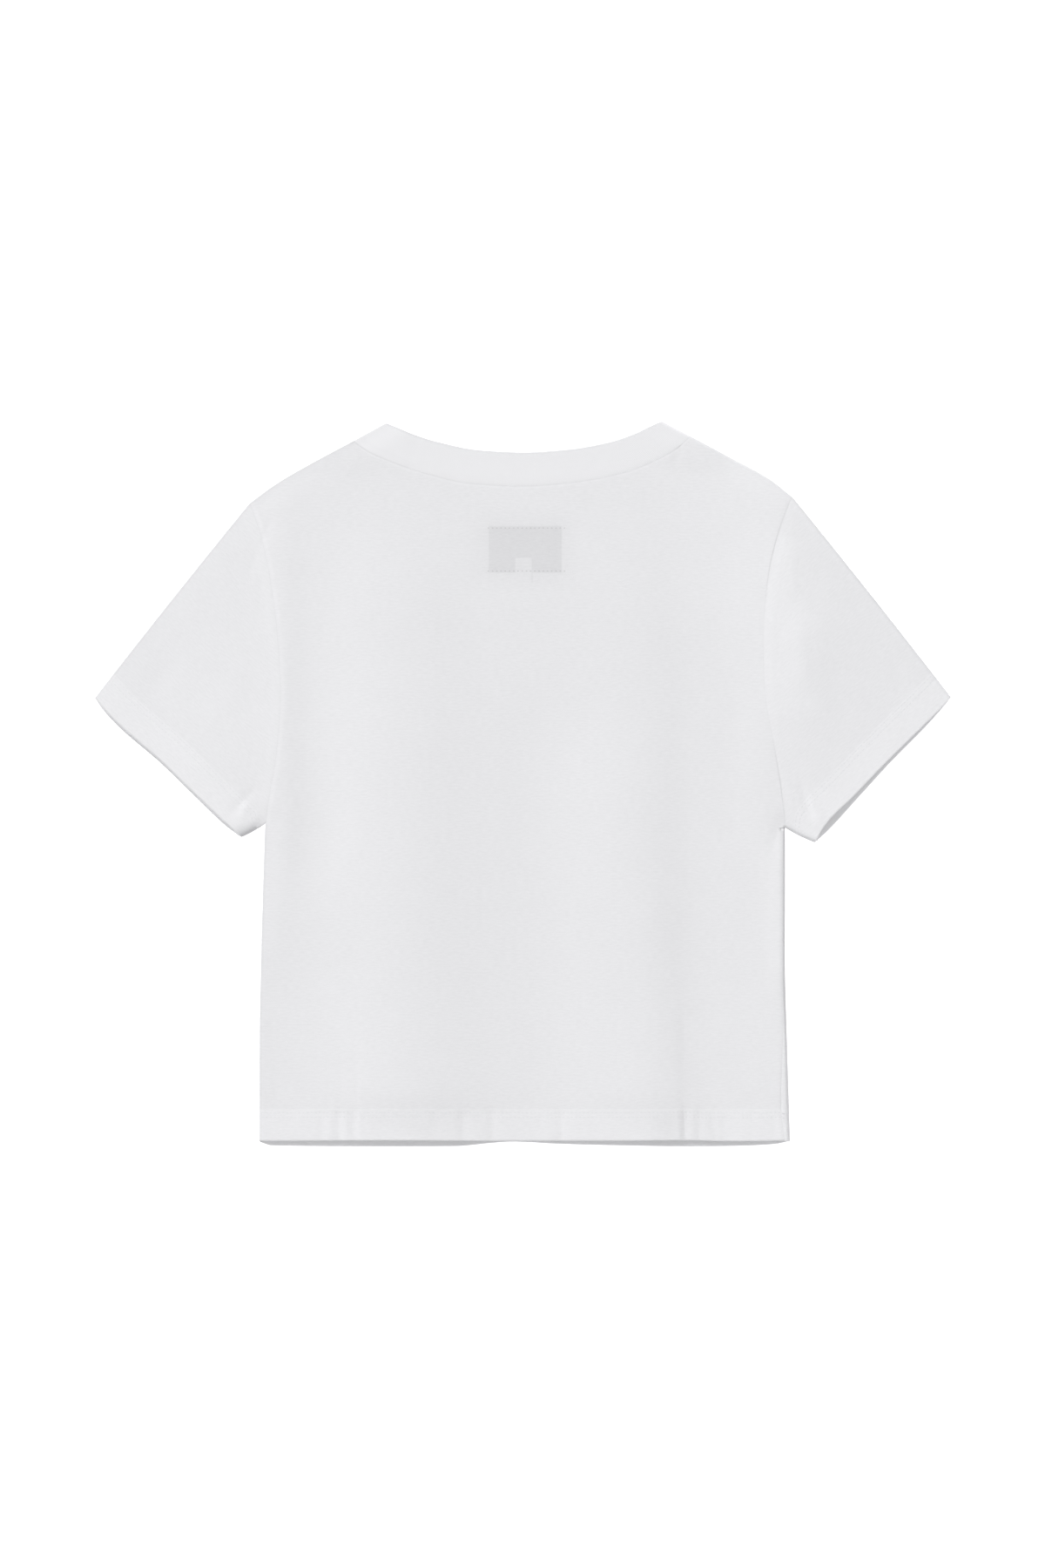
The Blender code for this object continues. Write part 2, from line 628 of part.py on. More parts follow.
# ---- label and tab ---------------------------------------------------------------------
def under_face(item):
    """Function that gives the height of a solid's lowest face over a plan point."""
    tree = BVHTree.FromPolygons([v.co.copy() for v in item.data.vertices],
                                [tuple(f.vertices) for f in item.data.polygons])

    def height(x, y):
        hit, _, _, _ = tree.ray_cast(Vector((x, y, 0.0)), Vector((0.0, 0.0, 1.0)))
        return hit.z

    return height


def patch(name, corners, cells, clearance, under, material):
    """Small flat piece that lies with its wall below the underside of the back panel."""
    left, low, right, top = corners
    across, up = cells
    outer = []
    for j in range(up + 1):
        for i in range(across + 1):
            x = lerp(left, right, i / across)
            y = lerp(low, top, j / up)
            outer.append(Vector((x, y, under(x, y) - clearance(x, y))))
    inner = [point - Vector((0.0, 0.0, LABEL_WALL)) for point in outer]
    faces = [(j * (across + 1) + i, j * (across + 1) + i + 1,
              (j + 1) * (across + 1) + i + 1, (j + 1) * (across + 1) + i)
             for j in range(up) for i in range(across)]
    return solid(name, outer, inner, faces, material)


def label_clearance(x, y):
    """Label close to the back, eased down where the size tab lies between them."""
    off_x = max(TAB_LEFT - x, x - TAB_RIGHT, 0.0)
    off_y = max(y - TAB_TOP, 0.0)
    near_tab = 1.0 - ease((math.hypot(off_x, off_y) - TAB_MARGIN) / TAB_EASE)
    return SEAM_GAP + near_tab * TAB_ROOM


def tab_clearance(x, y):
    """The tab lies close to the back all over."""
    return SEAM_GAP


# ---- whole garment ---------------------------------------------------------------------
def clear_scene():
    for item in list(bpy.data.objects):
        bpy.data.objects.remove(item, do_unlink=True)


def build():
    clear_scene()
    jersey = cloth_material("white_jersey", WHITE_JERSEY, 0.85)
    rib = cloth_material("white_rib", WHITE_RIB, 0.85)
    label_cloth = cloth_material("grey_label", GREY_LABEL, 0.7)
    tab_cloth = cloth_material("white_tab", WHITE_TAB, 0.7)
    back = panel("back", jersey)
    panel("front", jersey)
    sleeve("left", jersey)
    sleeve("right", jersey)
    neck_band(rib)
    under = under_face(back)
    patch("neck_label", (LABEL_LEFT, LABEL_LOW, LABEL_RIGHT, LABEL_TOP),
          LABEL_CELLS, label_clearance, under, label_cloth)
    patch("size_tag", (TAB_LEFT, TAB_LOW, TAB_RIGHT, TAB_TOP),
          TAB_CELLS, tab_clearance, under, tab_cloth)


build()
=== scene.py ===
"""Looks of a white jersey crop top that lies flat on its front, back panel up.

Units are metres, +Z is up and +Y points to the neck. Each cloth node gets a finer shell on the
same form: rows of points worked out in plan, lifted onto one common height, given creases and
seams of their own, and thickened. Hems, cuffs and neck band are turned and doubled as sewn.
"""
import math

import bmesh
import bpy
import numpy as np
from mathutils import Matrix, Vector


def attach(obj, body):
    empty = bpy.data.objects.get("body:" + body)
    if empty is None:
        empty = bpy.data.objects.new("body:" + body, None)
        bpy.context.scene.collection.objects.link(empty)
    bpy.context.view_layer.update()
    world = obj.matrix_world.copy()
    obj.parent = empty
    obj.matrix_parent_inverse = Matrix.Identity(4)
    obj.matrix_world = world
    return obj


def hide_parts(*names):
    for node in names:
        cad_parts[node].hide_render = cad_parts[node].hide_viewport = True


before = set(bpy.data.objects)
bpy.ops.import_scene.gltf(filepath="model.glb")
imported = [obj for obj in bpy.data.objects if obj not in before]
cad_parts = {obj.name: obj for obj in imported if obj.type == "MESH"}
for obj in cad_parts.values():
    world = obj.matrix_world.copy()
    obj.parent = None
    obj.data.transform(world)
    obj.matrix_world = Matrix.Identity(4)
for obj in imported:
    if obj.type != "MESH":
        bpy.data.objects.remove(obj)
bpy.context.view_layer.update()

# ---- cloth -----------------------------------------------------------------------------
CLOTH = 0.00060               # one layer of jersey
TURN_RADIUS = 0.00066         # outer radius of a turned edge
TURN_CENTRE = 0.00026         # distance of its middle from the nominal edge
HALF_SEAM = 0.00001           # half the clear space between two sewn shells
SEAM_GAPE = 0.00007           # how much more the right armhole seam gapes at its two ends
NECK_EASE = 0.006             # length over which the panels draw back from the neck seam
SIDE_GAPE = 0.00004           # how much more the right side seam gapes
HEM_DEPTH = 0.0220            # turn-up at hem and cuffs
HEM_NEEDLES = (0.0164, 0.0198)    # needle rows of the hem, from its edge
CUFF_NEEDLES = (0.0176, 0.0209)   # needle rows of the cuffs, from their edge
CELL = 0.0028                 # usual distance between points of a shell

# ---- how the cloth lies ----------------------------------------------------------------
FOLD_TOP = 0.0042             # height of the stack along folded edges
FOLD_REACH = 0.0026           # how far a folded edge rounds over
PRESSED_LEFT = 8.0            # how squarely the left folded edges are pressed; 2 is round
PRESSED_RIGHT = 2.2
PRESSED_UNDERARM = 1.6
PRESSED_CHANGE = 0.2          # width about the middle over which left changes to right
UNDERARM_X = (0.187, 0.004)   # the underarm edges start this far out, over this length,
UNDERARM_Y_REACH = 0.02       # and below the height of the armpit over this one
LOFT = 0.0007                 # how much higher the middle lies than the folded edges
LOFT_REACH = 0.016            # distance from an edge over which the middle rises
PUFFED_X = (0.150, 0.030)     # to the right of this, over this length,
PUFFED_Y = (-0.020, 0.040)    # and below this, the cloth stands up to its very edge
FLAT_X = (-0.090, 0.070)      # to the left of this, over this length, it lies flatter,
FLAT_Y = (-0.090, 0.060)      # but for a swell about this height
LEFT_LOFT = 0.25              # share of the loft that the flatter cloth keeps
HEM_LOFT_LEFT = 0.35          # share of loft and folds that is left at the hem
HEM_RISE = 0.038              # distance above the hem over which they come back in full
FRONT_ARMHOLE_SCOOP = 0.006   # how much deeper the front armhole is cut
ARMPIT_ROW = 4                # row of BODY that is the armpit
TIP_ROLL = 1.2                # the shoulder slopes, so its rounding takes more length
SLEEVE_LEAST = 0.16           # least share of a sleeve's length that lies above its turn-up
SLEEVE_BOW = 0.0006           # how far a sleeve's folded edges bow outwards
RING_CROWDING = 1.25          # above 1, a sleeve's rings lie closer together near the armhole

# Upper outline, from the armhole tip over the shoulder to the neck point.
SIDE_COLUMNS = ("name", "left_x", "left_y", "right_x", "right_y")
SHOULDER = (
    ("armhole_tip", -0.1957, 0.2006, 0.1925, 0.2055),
    ("outer", -0.1772, 0.2141, 0.1747, 0.2191),
    ("middle", -0.1517, 0.2290, 0.1473, 0.2340),
    ("neck_corner", -0.1215, 0.2452, 0.1200, 0.2487),
    ("neck_point", -0.0981, 0.2580, 0.0995, 0.2594),
)

# Sections up the body: side fold, then armhole seam up to its tip.
BODY = (
    ("hem", -0.1888, -0.2546, 0.1912, -0.2546),
    ("low", -0.1887, -0.1870, 0.1891, -0.1870),
    ("middle", -0.1875, -0.1247, 0.1875, -0.1247),
    ("upper", -0.1859, -0.0680, 0.1876, -0.0680),
    ("armpit", -0.1843, -0.0285, 0.1875, -0.0315),
    ("armhole_1", -0.1805, -0.0030, 0.1846, -0.0030),
    ("armhole_2", -0.1764, 0.0228, 0.1800, 0.0250),
    ("armhole_3", -0.1738, 0.0660, 0.1728, 0.0700),
    ("armhole_4", -0.1758, 0.1050, 0.1718, 0.1030),
    ("armhole_5", -0.1808, 0.1456, 0.1750, 0.1450),
    ("armhole_6", -0.1872, 0.1760, 0.1822, 0.1780),
    SHOULDER[0],
)

# Lower edges. The front hem shows below the back hem in two shallow lobes.
HEM_COLUMNS = ("x", "back_y", "front_y")
HEM = (
    (-0.1888, -0.2548, -0.2558),
    (-0.1790, -0.2549, -0.2586),
    (-0.0900, -0.2545, -0.2592),
    (-0.0480, -0.2547, -0.2590),
    (-0.0220, -0.2548, -0.2567),
    (-0.0080, -0.2548, -0.2558),
    (0.0250, -0.2548, -0.2573),
    (0.0650, -0.2548, -0.2584),
    (0.1180, -0.2545, -0.2592),
    (0.1500, -0.2551, -0.2589),
    (0.1800, -0.2549, -0.2575),
    (0.1912, -0.2546, -0.2553),
)

# The front panel wraps round the right side fold up to the side seam.
WRAP_COLUMNS = ("y", "inset")
RIGHT_WRAP = (
    (-0.2590, 0.0035),
    (-0.2320, 0.0060),
    (-0.2000, 0.0044),
    (-0.1745, 0.0030),
    (-0.0800, 0.0028),
    (-0.0400, 0.0028),
)

# Neck: share of the way across, then seam and free edge of the band on both layers.
NECK_COLUMNS = ("across", "back_seam_y", "back_edge_y", "front_seam_y", "front_edge_y")
NECK = (
    (0.00, 0.2452, 0.2580, 0.2452, 0.2580),
    (0.04, 0.2383, 0.2549, 0.2285, 0.2400),
    (0.10, 0.2316, 0.2499, 0.2020, 0.2154),
    (0.20, 0.2231, 0.2438, 0.1760, 0.1943),
    (0.35, 0.2149, 0.2383, 0.1568, 0.1788),
    (0.50, 0.2130, 0.2370, 0.1500, 0.1735),
    (0.65, 0.2156, 0.2388, 0.1568, 0.1788),
    (0.80, 0.2224, 0.2438, 0.1762, 0.1945),
    (0.90, 0.2316, 0.2502, 0.2035, 0.2168),
    (0.96, 0.2400, 0.2559, 0.2320, 0.2425),
    (1.00, 0.2487, 0.2594, 0.2487, 0.2594),
)

# Cuffs, from the folded top edge of the sleeve to its underarm corner.
CUFF_COLUMNS = ("across", "upper_x", "upper_y", "lower_x", "lower_y")
CUFFS = {
    "left": (
        (0.00, -0.3061, 0.0618, -0.3061, 0.0618),
        (0.04, -0.3016, 0.0558, -0.3020, 0.0552),
        (0.50, -0.2562, 0.0140, -0.2567, 0.0128),
        (0.72, -0.2346, -0.0070, -0.2351, -0.0083),
        (0.93, -0.2117, -0.0287, -0.2116, -0.0306),
        (1.00, -0.2012, -0.0382, -0.2012, -0.0382),
    ),
    "right": (
        (0.00, 0.3061, 0.0621, 0.3061, 0.0621),
        (0.04, 0.3010, 0.0568, 0.3014, 0.0560),
        (0.50, 0.2572, 0.0134, 0.2592, 0.0116),
        (0.72, 0.2366, -0.0080, 0.2387, -0.0109),
        (0.93, 0.2150, -0.0303, 0.2172, -0.0342),
        (1.00, 0.2085, -0.0420, 0.2085, -0.0420),
    ),
}

# Broad folds of the upper layer; the solids have most of them, some of them lower. A fold runs
# from its top to its low end and falls away over a reach of its own on each side:
# name, top_x, top_y, low_x, low_y, left_reach, right_reach, height.
FOLDS = (
    ("left_armhole_crest", -0.1715, 0.250, -0.1715, -0.100, 0.026, 0.018, 0.0005),
    ("left_panel_crest", -0.087, 0.230, -0.079, -0.254, 0.078, 0.060, 0.0014),
    ("left_panel_swell", -0.090, 0.110, -0.074, -0.254, 0.080, 0.118, 0.0011),
    ("right_panel_crest", 0.072, 0.230, 0.078, -0.170, 0.085, 0.046, 0.0006),
    ("right_panel_swell", 0.074, 0.060, 0.094, -0.254, 0.088, 0.038, 0.0010),
    ("right_panel_ridge", 0.086, -0.060, 0.092, -0.254, 0.034, 0.030, 0.0004),
    ("left_side_trough", -0.134, 0.230, -0.146, -0.120, 0.030, 0.030, -0.0004),
    ("left_low_trough", -0.156, 0.000, -0.182, -0.254, 0.030, 0.044, -0.0003),
    ("centre_trough", 0.026, 0.120, 0.014, -0.254, 0.064, 0.050, -0.0006),
    ("right_side_trough", 0.116, 0.200, 0.142, -0.254, 0.034, 0.060, -0.0006),
    ("right_armhole_crest", 0.182, 0.300, 0.190, -0.040, 0.050, 0.070, 0.0011),
    ("right_side_crest", 0.186, -0.015, 0.190, -0.165, 0.020, 0.016, 0.0009),
    ("label_rise", 0.000, 0.215, 0.001, 0.105, 0.050, 0.050, 0.0003),
    ("left_sleeve_crest", -0.215, 0.120, -0.212, -0.010, 0.060, 0.060, 0.0002),
    ("right_sleeve_crest", 0.204, 0.150, 0.212, -0.010, 0.026, 0.060, 0.0003),
)
FOLD_END = 0.25               # share of its length over which a fold fades in and out
HEM_FOLDS_BELOW = -0.25       # a fold whose low point lies below this runs out through the hem

# Creases of single pieces: a soft ridge, or trough where height is negative, that runs down from
# start to end and fades over a reach of its own on each side:
# start_x, start_y, end_x, end_y, left_reach, right_reach, height.
BACK_CREASES = (
    (0.1150, -0.130, 0.1170, -0.290, 0.0080, 0.0200, -0.00022),
    (0.1300, -0.190, 0.1300, -0.262, 0.0050, 0.0160, -0.00012),
    (-0.1340, -0.150, -0.1265, -0.240, 0.0030, 0.0050, -0.00013),
    (-0.1180, -0.170, -0.1215, -0.262, 0.0050, 0.0040, -0.00010),
    (-0.0600, -0.195, -0.0640, -0.262, 0.0040, 0.0060, 0.00010),
    (0.0370, -0.205, 0.0450, -0.262, 0.0040, 0.0040, -0.00010),
    (-0.1160, 0.250, -0.1130, 0.222, 0.0050, 0.0070, -0.00022),
    (0.1130, 0.254, 0.1110, 0.226, 0.0070, 0.0050, -0.00022),
    (-0.1600, 0.221, -0.1420, 0.180, 0.0140, 0.0160, 0.00012),
    (0.1580, 0.222, 0.1400, 0.170, 0.0160, 0.0140, 0.00012),
    (-0.1780, 0.196, -0.1880, 0.169, 0.0024, 0.0034, -0.00020),
    (0.1560, 0.090, 0.1480, -0.060, 0.0200, 0.0140, -0.00020),
)
FRONT_CREASES = (
    (-0.0900, 0.110, -0.0780, -0.262, 0.0180, 0.0260, -0.00030),
    (0.0700, 0.090, 0.0920, -0.262, 0.0240, 0.0160, -0.00035),
    (0.1150, -0.160, 0.1180, -0.270, 0.0060, 0.0040, -0.00020),
    (-0.1240, -0.180, -0.1210, -0.270, 0.0040, 0.0060, -0.00018),
    (-0.1450, 0.170, -0.1300, 0.040, 0.0120, 0.0100, -0.00025),
    (0.1400, 0.180, 0.1280, 0.060, 0.0100, 0.0120, -0.00022),
    (-0.0200, 0.120, -0.0150, 0.010, 0.0180, 0.0140, -0.00020),
)
SLEEVE_CREASES = {
    "left": (
        (-0.1850, 0.1790, -0.1988, 0.1420, 0.0020, 0.0024, -0.00015),
        (-0.1850, 0.1500, -0.1924, 0.1040, 0.0020, 0.0024, -0.00011),
        (-0.1960, 0.0900, -0.2300, 0.0300, 0.0120, 0.0160, 0.00014),
        (-0.1880, 0.0000, -0.2120, -0.0250, 0.0050, 0.0040, -0.00025),
        (-0.1950, -0.0100, -0.2050, -0.0340, 0.0040, 0.0040, 0.00025),
        (-0.2500, 0.0900, -0.2680, 0.0560, 0.0140, 0.0100, -0.00020),
    ),
    "right": (
        (0.2070, 0.1640, 0.2180, 0.1380, 0.0034, 0.0024, -0.00020),
        (0.1900, 0.1780, 0.1940, 0.1280, 0.0130, 0.0080, 0.00032),
        (0.1955, 0.1200, 0.2005, 0.0580, 0.0190, 0.0120, 0.00044),
        (0.1880, 0.0600, 0.1960, 0.0150, 0.0100, 0.0200, 0.00022),
        (0.2140, 0.0950, 0.2350, 0.0350, 0.0160, 0.0120, -0.00025),
        (0.1960, 0.0050, 0.2080, -0.0300, 0.0040, 0.0050, -0.00030),
        (0.2040, -0.0050, 0.2160, -0.0330, 0.0040, 0.0040, 0.00028),
        (0.2620, 0.0950, 0.2760, 0.0600, 0.0100, 0.0140, -0.00020),
    ),
}
CREASE_END = 0.30             # share of its length over which a crease fades in and out
CREASE_CLEAR = 0.012          # creases fade out this close to a folded edge

# Puckers across the turned hems, from the edge to above the needles, steep on one side:
# x, left_reach, right_reach, height.
BACK_PUCKERS = (
    (-0.1448, 0.0032, 0.0070, -0.00026),
    (-0.1318, 0.0034, 0.0050, -0.00042),
    (-0.1215, 0.0036, 0.0070, -0.00024),
    (-0.0634, 0.0032, 0.0056, -0.00026),
    (-0.0428, 0.0032, 0.0050, -0.00036),
    (-0.0226, 0.0036, 0.0070, -0.00034),
    (0.0265, 0.0032, 0.0060, -0.00032),
    (0.0480, 0.0034, 0.0100, -0.00010),
    (0.1050, 0.0034, 0.0060, -0.00018),
    (0.1164, 0.0052, 0.0042, -0.00044),
    (0.1256, 0.0034, 0.0044, -0.00038),
    (0.1362, 0.0036, 0.0050, -0.00026),
    (0.1440, 0.0034, 0.0060, -0.00016),
    (0.1590, 0.0040, 0.0030, 0.00014),
    (0.1690, 0.0040, 0.0030, 0.00014),
    (0.1790, 0.0026, 0.0050, -0.00012),
)
FRONT_PUCKERS = (
    (-0.1510, 0.0060, 0.0030, -0.00014),
    (-0.1120, 0.0028, 0.0050, -0.00012),
    (-0.0740, 0.0080, 0.0034, -0.00014),
    (-0.0310, 0.0026, 0.0060, -0.00011),
    (0.0180, 0.0070, 0.0030, -0.00013),
    (0.0610, 0.0032, 0.0080, -0.00012),
    (0.1020, 0.0026, 0.0050, -0.00015),
    (0.1370, 0.0080, 0.0034, -0.00012),
    (0.1640, 0.0024, 0.0050, -0.00011),
)
PUCKER_END = 0.004            # a pucker starts to die out this far below the end of the turn-up
PUCKER_RISE = 0.007           # length over which it dies out

# Painted shade, cloth coloured darker where shade falls: within reach of a folded edge, in a soft
# box of the plan. A share below 0 is painted light, paler cloth, and a reach of 1 takes in the whole box:
# name, centre_x, centre_y, half_x, half_y, reach, share.
SHADING_PATCHES = (
    ("every_edge", 0.000, 0.000, 1.000, 1.000, 0.0026, 0.58),
    ("right_side", 0.190, -0.100, 0.030, 0.095, 0.0042, 0.78),
    ("left_underarm", -0.207, -0.031, 0.024, 0.022, 0.0100, 1.95),
    ("left_armhole", -0.200, 0.120, 0.080, 0.140, 1.0, -0.10),
    ("left_cuff", -0.260, 0.010, 0.100, 0.090, 1.0, -0.08),
    ("left_neck_corner", -0.124, 0.237, 0.030, 0.022, 1.0, 0.12),
    ("right_neck_corner", 0.125, 0.239, 0.030, 0.022, 1.0, 0.16),
    ("right_shoulder", 0.160, 0.190, 0.080, 0.100, 1.0, -0.10),
    ("right_sleeve_high", 0.186, 0.149, 0.018, 0.036, 1.0, -0.14),
    ("right_sleeve_middle", 0.190, 0.089, 0.026, 0.048, 1.0, -0.16),
    ("right_armpit", 0.225, -0.012, 0.050, 0.060, 1.0, -0.15),
    ("hem_right_puckers", 0.119, -0.249, 0.034, 0.016, 1.0, 0.17),
    ("hem_left_puckers", -0.040, -0.250, 0.060, 0.014, 1.0, 0.05),
)
CUFF_PAINTED_SHADE = {"left": 1.10, "right": -0.50}     # painted shade along the turned cuffs, painted light where below 0
CUFF_SHADE_REACH = 0.0012
NECK_SHADE = 0.60             # painted shade along the neck seam
NECK_PAINTED_HIGHLIGHT = 0.16              # a painted highlight: a pale line below that seam
NECK_LINE = 0.0016            # its distance from the seam
LEFT_ARMHOLE_SHADE = 0.18     # painted shade along the left armhole seam
ARMHOLE_SHADE = 0.36          # painted shade along the right one, most where it gapes
ARMHOLE_SHADE_LEAST = 0.35    # share of it where that seam is closed
# Height and reach of the two places near its ends where the right armhole seam gapes.
GAPING_PLACES = ((0.170, 0.055), (0.004, 0.035))
SHADE_REACH = 0.0010          # width of the painted shade on either side of a seam
ALLOWANCE_PAINTED_HIGHLIGHT = 0.16         # a painted highlight: a pale line on the back beside the left armhole seam
ALLOWANCE_LINE = 0.0024       # its distance from the seam
PAINTED_SHADE_TONE = 0.40               # how much darker the painted shade makes the cloth at its fullest

# Seams: the cloth beside one lies lower by depth, over reach, and its very edge turns in by as
# much as the pinch, over a narrow strip: depth, reach, pinch.
SEAMS = {
    "armhole_body": (0.00006, 0.0042, 0.00000),
    "armhole_sleeve": (0.00006, 0.0060, 0.00000),
    "neck_body": (0.00005, 0.0032, 0.00000),
    "neck_band": (0.00011, 0.0050, 0.00002),
    "side": (0.00008, 0.0030, 0.00002),
    "shoulder": (0.00006, 0.0030, 0.00002),
}
PINCH_REACH = 0.0009          # width of the strip that turns in
NEEDLE_REACH = 0.0012         # half width of the groove along a needle row
NEEDLE_DEPTH = 0.00005
TURN_STEP = 0.00005           # how much the second cloth layer lifts the outer one
TURN_SHOWS = 0.0014           # length over which that step rises
TURN_FADES = 0.0006           # length over which the paler tone of doubled cloth ends

# ---- label and size tab ----------------------------------------------------------------
LABEL_LEFT = -0.0244
LABEL_RIGHT = 0.0278
LABEL_LOW = 0.1508
LABEL_TOP = 0.1840
TAB_LEFT = -0.0054
TAB_RIGHT = 0.0062
TAB_LOW = 0.1434
TAB_TOP = 0.1614
LABEL_CLOTH = 0.00035
LABEL_AIR = 0.00010           # clear space over label and tab
LABEL_NEEDLES = (0.1519, 0.1827)      # Y of the two seams that hold the label
LABEL_SEAM_ENDS = (-0.0262, 0.0312)
LABEL_SEAM_POINTS = 60
PATCH_CELL = 0.0012           # distance between points of label and tab
TAB_CLEAR = 0.001             # how far past the tab the label still lies on it
TAB_EASE = 0.008              # length over which it then lies down

# What shows through the back, and the painted shadow of the tab's edge and painted shade round
# the label: softness, left, right, low, top of a rectangle.
LABEL_SHOWS = (0.0010, LABEL_LEFT, LABEL_RIGHT, LABEL_LOW, LABEL_TOP)
TAB_SHOWS = (0.0008, TAB_LEFT, TAB_RIGHT, LABEL_LOW, TAB_TOP)
# Painted shadow along the tab's right edge, below the label.
TAB_EDGE_SHADOW = (0.0010, TAB_RIGHT - 0.0003, TAB_RIGHT + 0.0009, TAB_LOW, LABEL_LOW)
# Painted shade in a soft halo round the label.
LABEL_SHADE_HALO = (0.018, -0.0343, 0.0317, 0.1439, 0.1909)

# ---- sewing thread ---------------------------------------------------------------------
STITCH_PITCH = 0.0029
STITCH_SHARE = 0.66           # share of the pitch that one stitch covers
LABEL_STITCH_SHARE = 0.48     # the same for the label's seams
THREAD_RADIUS = 0.00013
THREAD_SIDES = 6
STITCH_ARCH = (-0.00022, 0.00003, 0.00006, 0.00003, -0.00022)   # thread height along a stitch

# ---- colours ---------------------------------------------------------------------------
JERSEY_LIGHT = (0.846, 0.846, 0.862, 1.0)
JERSEY_DARK = (0.556, 0.556, 0.570, 1.0)
RIB_LIGHT = (0.800, 0.800, 0.816, 1.0)
RIB_DARK = (0.670, 0.670, 0.684, 1.0)
LABEL_LIGHT = (0.300, 0.300, 0.305, 1.0)
LABEL_DARK = (0.190, 0.190, 0.195, 1.0)
TAB_LIGHT = (0.80, 0.80, 0.80, 1.0)
TAB_DARK = (0.66, 0.66, 0.66, 1.0)
THREAD_WHITE = (0.80, 0.81, 0.83, 1.0)
THREAD_GREY = (0.40, 0.40, 0.41, 1.0)
FLOOR_WHITE = (0.97, 0.97, 0.97, 1.0)
PURE_WHITE = (1.0, 1.0, 1.0, 1.0)
THREAD_SHADE = 0.8            # how dark the thread's twist is, as a share of its colour

# Tone of the jersey between its dark and its light colour, and what each effect adds to it.
JERSEY_TONE = 0.605
STREAK_TONE = 0.300
CLOUD_TONE = 0.050
DOUBLED_TONE = 0.085
# Painted shadow along the tab's edge.
TAB_EDGE_SHADOW_TONE = -0.130
# Painted shade round the label.
LABEL_SHADE_HALO_TONE = -0.100
LABEL_TONE = -0.205
TAB_COVERS = 0.90             # share of the label's tone that the tab takes away
RIB_TONE = 0.86               # the same for the rib
# Painted shade: darker in the grooves between rib columns.
RIB_GROOVE_SHADE_TONE = 0.06
RIB_STREAK_TONE = 0.10

# ---- view and light --------------------------------------------------------------------
VIEW_CENTRE = (-0.0003, -0.0002, 0.0025)
VIEW_HEIGHT = 1.1212          # height of the framed area at the garment
VIEW_DISTANCE = 3.0
SENSOR = 36.0
FILL_STRENGTH = 0.500
FLOOR_GLOW = 0.60
FLOOR_HALF = 60.0             # so wide that a low view doesn't look past its edge
FLOOR_DROP = 0.0001           # clear space between floor and cloth

# The main light, and a weaker, broader one from the other side: name, azimuth from +X and
# elevation in degrees, strength, width in degrees.
SUNS = (
    ("key", 132.0, 22.0, 3.12, 28.0),
    ("side", -50.0, 50.0, 0.72, 60.0),
)


# ---- small sums ------------------------------------------------------------------------
def column(table, names, name):
    """One named column of a table as an array."""
    return np.array([row[names.index(name)] for row in table], dtype=float)


def smooth(at, knots, values):
    """Smooth curve through the knots that never overshoots them, for an array of places."""
    step = np.diff(knots)
    rise = np.diff(values) / step
    slope = np.concatenate((rise[:1], np.zeros(len(rise) - 1), rise[-1:]))
    for k in range(1, len(rise)):
        if rise[k - 1] * rise[k] > 0.0:
            before = 2.0 * step[k] + step[k - 1]
            after = step[k] + 2.0 * step[k - 1]
            slope[k] = (before + after) / (before / rise[k - 1] + after / rise[k])
    at = np.clip(at, knots[0], knots[-1])
    k = np.clip(np.searchsorted(knots, at, side="right") - 1, 0, len(step) - 1)
    u = (at - knots[k]) / step[k]
    start = (1.0 + 2.0 * u) * (1.0 - u) ** 2 * values[k] + u * (1.0 - u) ** 2 * step[k] * slope[k]
    end = u * u * (3.0 - 2.0 * u) * values[k + 1] + u * u * (u - 1.0) * step[k] * slope[k + 1]
    return start + end


def curve(at, knots, x, y):
    """Points of a smooth curve through the knots."""
    return np.stack((smooth(at, knots, x), smooth(at, knots, y)), axis=-1)


def lengths_along(x, y):
    """Length along a line of points, from its first point."""
    return np.concatenate(([0.0], np.cumsum(np.hypot(np.diff(x), np.diff(y)))))


def ease(share):
    """Soft step from 0 to 1."""
    share = np.clip(share, 0.0, 1.0)
    return share * share * (3.0 - 2.0 * share)


def bump_shape(share):
    """Soft hump: 1 at 0, 0 at -1 and at 1."""
    return np.cos(0.5 * np.pi * np.clip(share, -1.0, 1.0)) ** 2


def lerp(start, end, share):
    """Value a share of the way from start to end."""
    return start + (end - start) * share


def spread(start, end, cell=CELL):
    """Evenly spaced values between start and end, both left out, about one cell apart."""
    count = max(int(round((end - start) / cell)), 1)
    return list(np.linspace(start, end, count + 1)[1:-1])


ROLL_STEPS = 1.0 - np.cos(np.linspace(0.0, 0.5 * np.pi, 10))      # round a folded edge


# ---- outlines in plan ------------------------------------------------------------------
def side_line(table, side):
    """X and Y of one side's points in a table."""
    return [column(table, SIDE_COLUMNS, side + axis) for axis in ("_x", "_y")]


BODY_KNOTS = lengths_along(*side_line(BODY, "left"))
ARMPIT_AT = BODY_KNOTS[ARMPIT_ROW]
TIP_AT = BODY_KNOTS[-1]
_, CORNER_LEFT, _, CORNER_RIGHT, _ = SHOULDER[3]
_, POINT_LEFT, _, POINT_RIGHT, _ = SHOULDER[4]


def body_edge(at, side, layer="back"):
    """Side fold and armhole seam: points at given lengths up from the hem."""
    at = np.asarray(at, dtype=float)
    points = curve(at, BODY_KNOTS, *side_line(BODY, side))
    if layer == "front":
        share = np.clip((at - ARMPIT_AT) / (TIP_AT - ARMPIT_AT), 0.0, 1.0)
        scoop = FRONT_ARMHOLE_SCOOP * np.sin(np.pi * share) ** 2
        points[..., 0] += scoop if side == "left" else -scoop
    return points


def shoulder_y(x, side):
    """Plan height of a shoulder at given places across."""
    xs, ys = side_line(SHOULDER, side)
    order = np.argsort(xs)
    return smooth(x, xs[order], ys[order])


